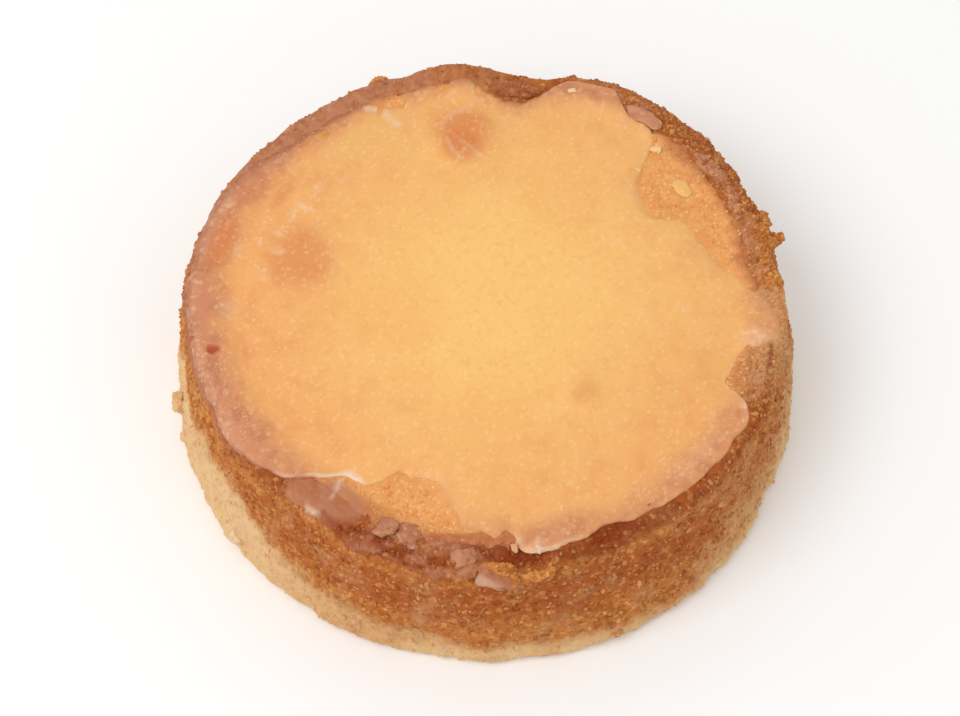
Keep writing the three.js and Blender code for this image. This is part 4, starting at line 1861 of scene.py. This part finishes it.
@dataclass
class GlazeChips:
    """Loose bits of glaze: an island and flakes in the right bay, and chunks on the front and back rim.

    Each lump's height is how far its middle is above the surface it rests on.
    """

    form: TartForm
    chips: tuple[Lump, ...] = (
        Lump("island", 35, 32.6, 0.35, 1.5, 0.32, 1.0, 0, 10, 2.6, grain=0.02, look=(("warmth", 0.4),)),
        Lump("white_flake", 47, 34.2, 0.5, 0.75, 0.35, 0.5, 0, 30, 3.5, look=(("milk", 1.0),)),
        Lump("pale_chip", 46, 29.9, 0.45, 0.45, 0.3, 0.3, 0, 0, 3.0, look=(("milk", 0.6),)),
        Lump("lap_flake", 71, 36.6, 0.6, 0.6, 0.3, 0.4, 0, 20, 3.0, look=(("milk", 0.8),)),
        Lump("back_chip", 54.5, 37.2, 0.3, 2.7, 0.4, 1.1, 0, 0, 2.6, grain=0.02, look=BACK_CHIP),
        Lump("front_chunk_left", 249.6, 37.0, 0.0, 1.5, 0.6, 1.3, 8, 12, 3.0, 0.4, 0.06, LEFT_CHUNK),
        Lump("front_chunk_mid", 254.6, 37.2, -0.1, 1.8, 0.6, 1.4, -6, -20, 2.8, 0.45, 0.08, MIDDLE_CHUNK),
        Lump("front_bit", 275.2, 37.7, 0.2, 0.4, 0.35, 0.6, 0, 0, 2.6, look=MILKY_BIT),
        Lump("front_lump", 280.2, 38.0, 0.15, 1.0, 0.45, 0.6, 0, 15, 2.2, 0.5, 0.2, MILKY_LUMP),
    )

    def build(self) -> bpy.types.Object:
        """Makes the chips as one object, each resting on the surface below it.

        Returns:
            The object.
        """
        places = [(np.array(chip.radius), np.array(chip.at)) for chip in self.chips]
        beds = [float(self.form.bed_height(*place)) for place in places]
        grids = [replace(chip, height=bed + chip.height).grid() for chip, bed in zip(self.chips, beds)]
        fields = [chip.dressed(GLAZE, grid, 0.8) for chip, grid in zip(self.chips, grids)]
        piece = closed_skins("glaze_chips", grids, fields)
        piece.data.materials.append(GLAZE.material)
        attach(piece, BODY)
        return piece


# ------------------------ The studio


def aim(place: tuple[float, float, float]) -> tuple[float, float, float]:
    """The turn that points a lamp at the origin from a place.

    Args:
        place: Where the lamp is.

    Returns:
        Its turns about X, Y and Z, in radians.
    """
    across = float(np.hypot(place[0], place[1]))
    return (float(np.arctan2(across, place[2])), 0.0, float(np.arctan2(place[0], -place[1])))


@dataclass(frozen=True)
class Studio:
    """A pale floor, soft light and the camera, which looks down on the tart from its chipped side.

    The lamp's place is in metres.
    """

    elevation: float = 57.9
    distance: float = 400.0
    focus_height: float = 10.0
    slide_right: float = -0.96
    slide_up: float = -2.16
    lens: float = 109.9
    sensor: float = 36.0
    nearest: float = 0.01
    floor_size: float = 2400.0
    sky: float = 0.76
    lamp_watts: float = 2.0
    lamp_size: float = 450.0
    lamp_place: tuple[float, float, float] = (-0.34, -0.22, 0.62)

    def floor(self) -> None:
        """A sheet of pale card under the tart."""
        half = self.floor_size / 2
        points = np.array([[-half, -half, 0.0], [half, -half, 0.0], [half, half, 0.0], [-half, half, 0.0]])
        card = new_object("floor_card", points, np.array([[0, 1, 2, 3]]))
        # White card: matt, with very little shine, so that the tart's edge stands out on it.
        card.data.materials.append(Finish("white_card", "#fdfdfc", roughness=0.9, specular=0.2).material)

    def light(self) -> None:
        """White sky all round and one large soft lamp, high on the left in front."""
        world = bpy.data.worlds.new("studio")
        world.use_nodes = True
        tree = world.node_tree
        tree.nodes.clear()
        sky = add_node(tree, "ShaderNodeBackground", {"Color": linear("#ffffff"), "Strength": self.sky})
        add_node(tree, "ShaderNodeOutputWorld", None, {"Surface": sky.outputs[0]})
        bpy.context.scene.world = world
        lamp = bpy.data.lights.new("softbox", "AREA")
        lamp.shape = "SQUARE"
        lamp.size = self.lamp_size * MM
        lamp.energy = self.lamp_watts
        holder = bpy.data.objects.new("softbox", lamp)
        holder.location = self.lamp_place
        holder.rotation_euler = aim(self.lamp_place)
        bpy.context.scene.collection.objects.link(holder)

    def camera(self) -> None:
        """The camera, with a lens as long as the photograph's perspective asks."""
        turn = np.radians(self.elevation)
        back = np.array([0.0, -np.cos(turn), np.sin(turn)])
        up = np.array([0.0, np.sin(turn), np.cos(turn)])
        place = back * self.distance + [self.slide_right, 0.0, self.focus_height] + up * self.slide_up
        lens = bpy.data.cameras.new("camera")
        lens.lens = self.lens
        lens.sensor_width = self.sensor
        lens.sensor_fit = "HORIZONTAL"
        lens.clip_start = self.nearest
        holder = bpy.data.objects.new("camera", lens)
        holder.location = place * MM
        holder.rotation_euler = (np.radians(90.0 - self.elevation), 0.0, 0.0)
        bpy.context.scene.collection.objects.link(holder)
        bpy.context.scene.camera = holder

    def build(self) -> None:
        """Sets the stage."""
        self.floor()
        self.light()
        self.camera()
        bpy.context.scene.view_settings.view_transform = "Standard"


def main() -> None:
    """Builds the tart piece by piece and sets the studio round it."""
    logging.basicConfig(level=logging.INFO, format="%(message)s")
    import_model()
    form = TartForm()
    case, filling, glaze = PastryCase(form), LemonFilling(form), LemonGlaze(form)
    parts = (case, filling, glaze, GlazeChips(form), FillingCrumbs(filling, glaze))
    pieces = [part.build() for part in parts]
    pieces += [*PastryCrumbs(form).build(), *CrumbCoat(case, glaze).build()]
    for piece in pieces:
        LOG.info("%s: %d faces", piece.name, len(piece.data.polygons))
    Studio().build()


if __name__ == "__main__":
    main()
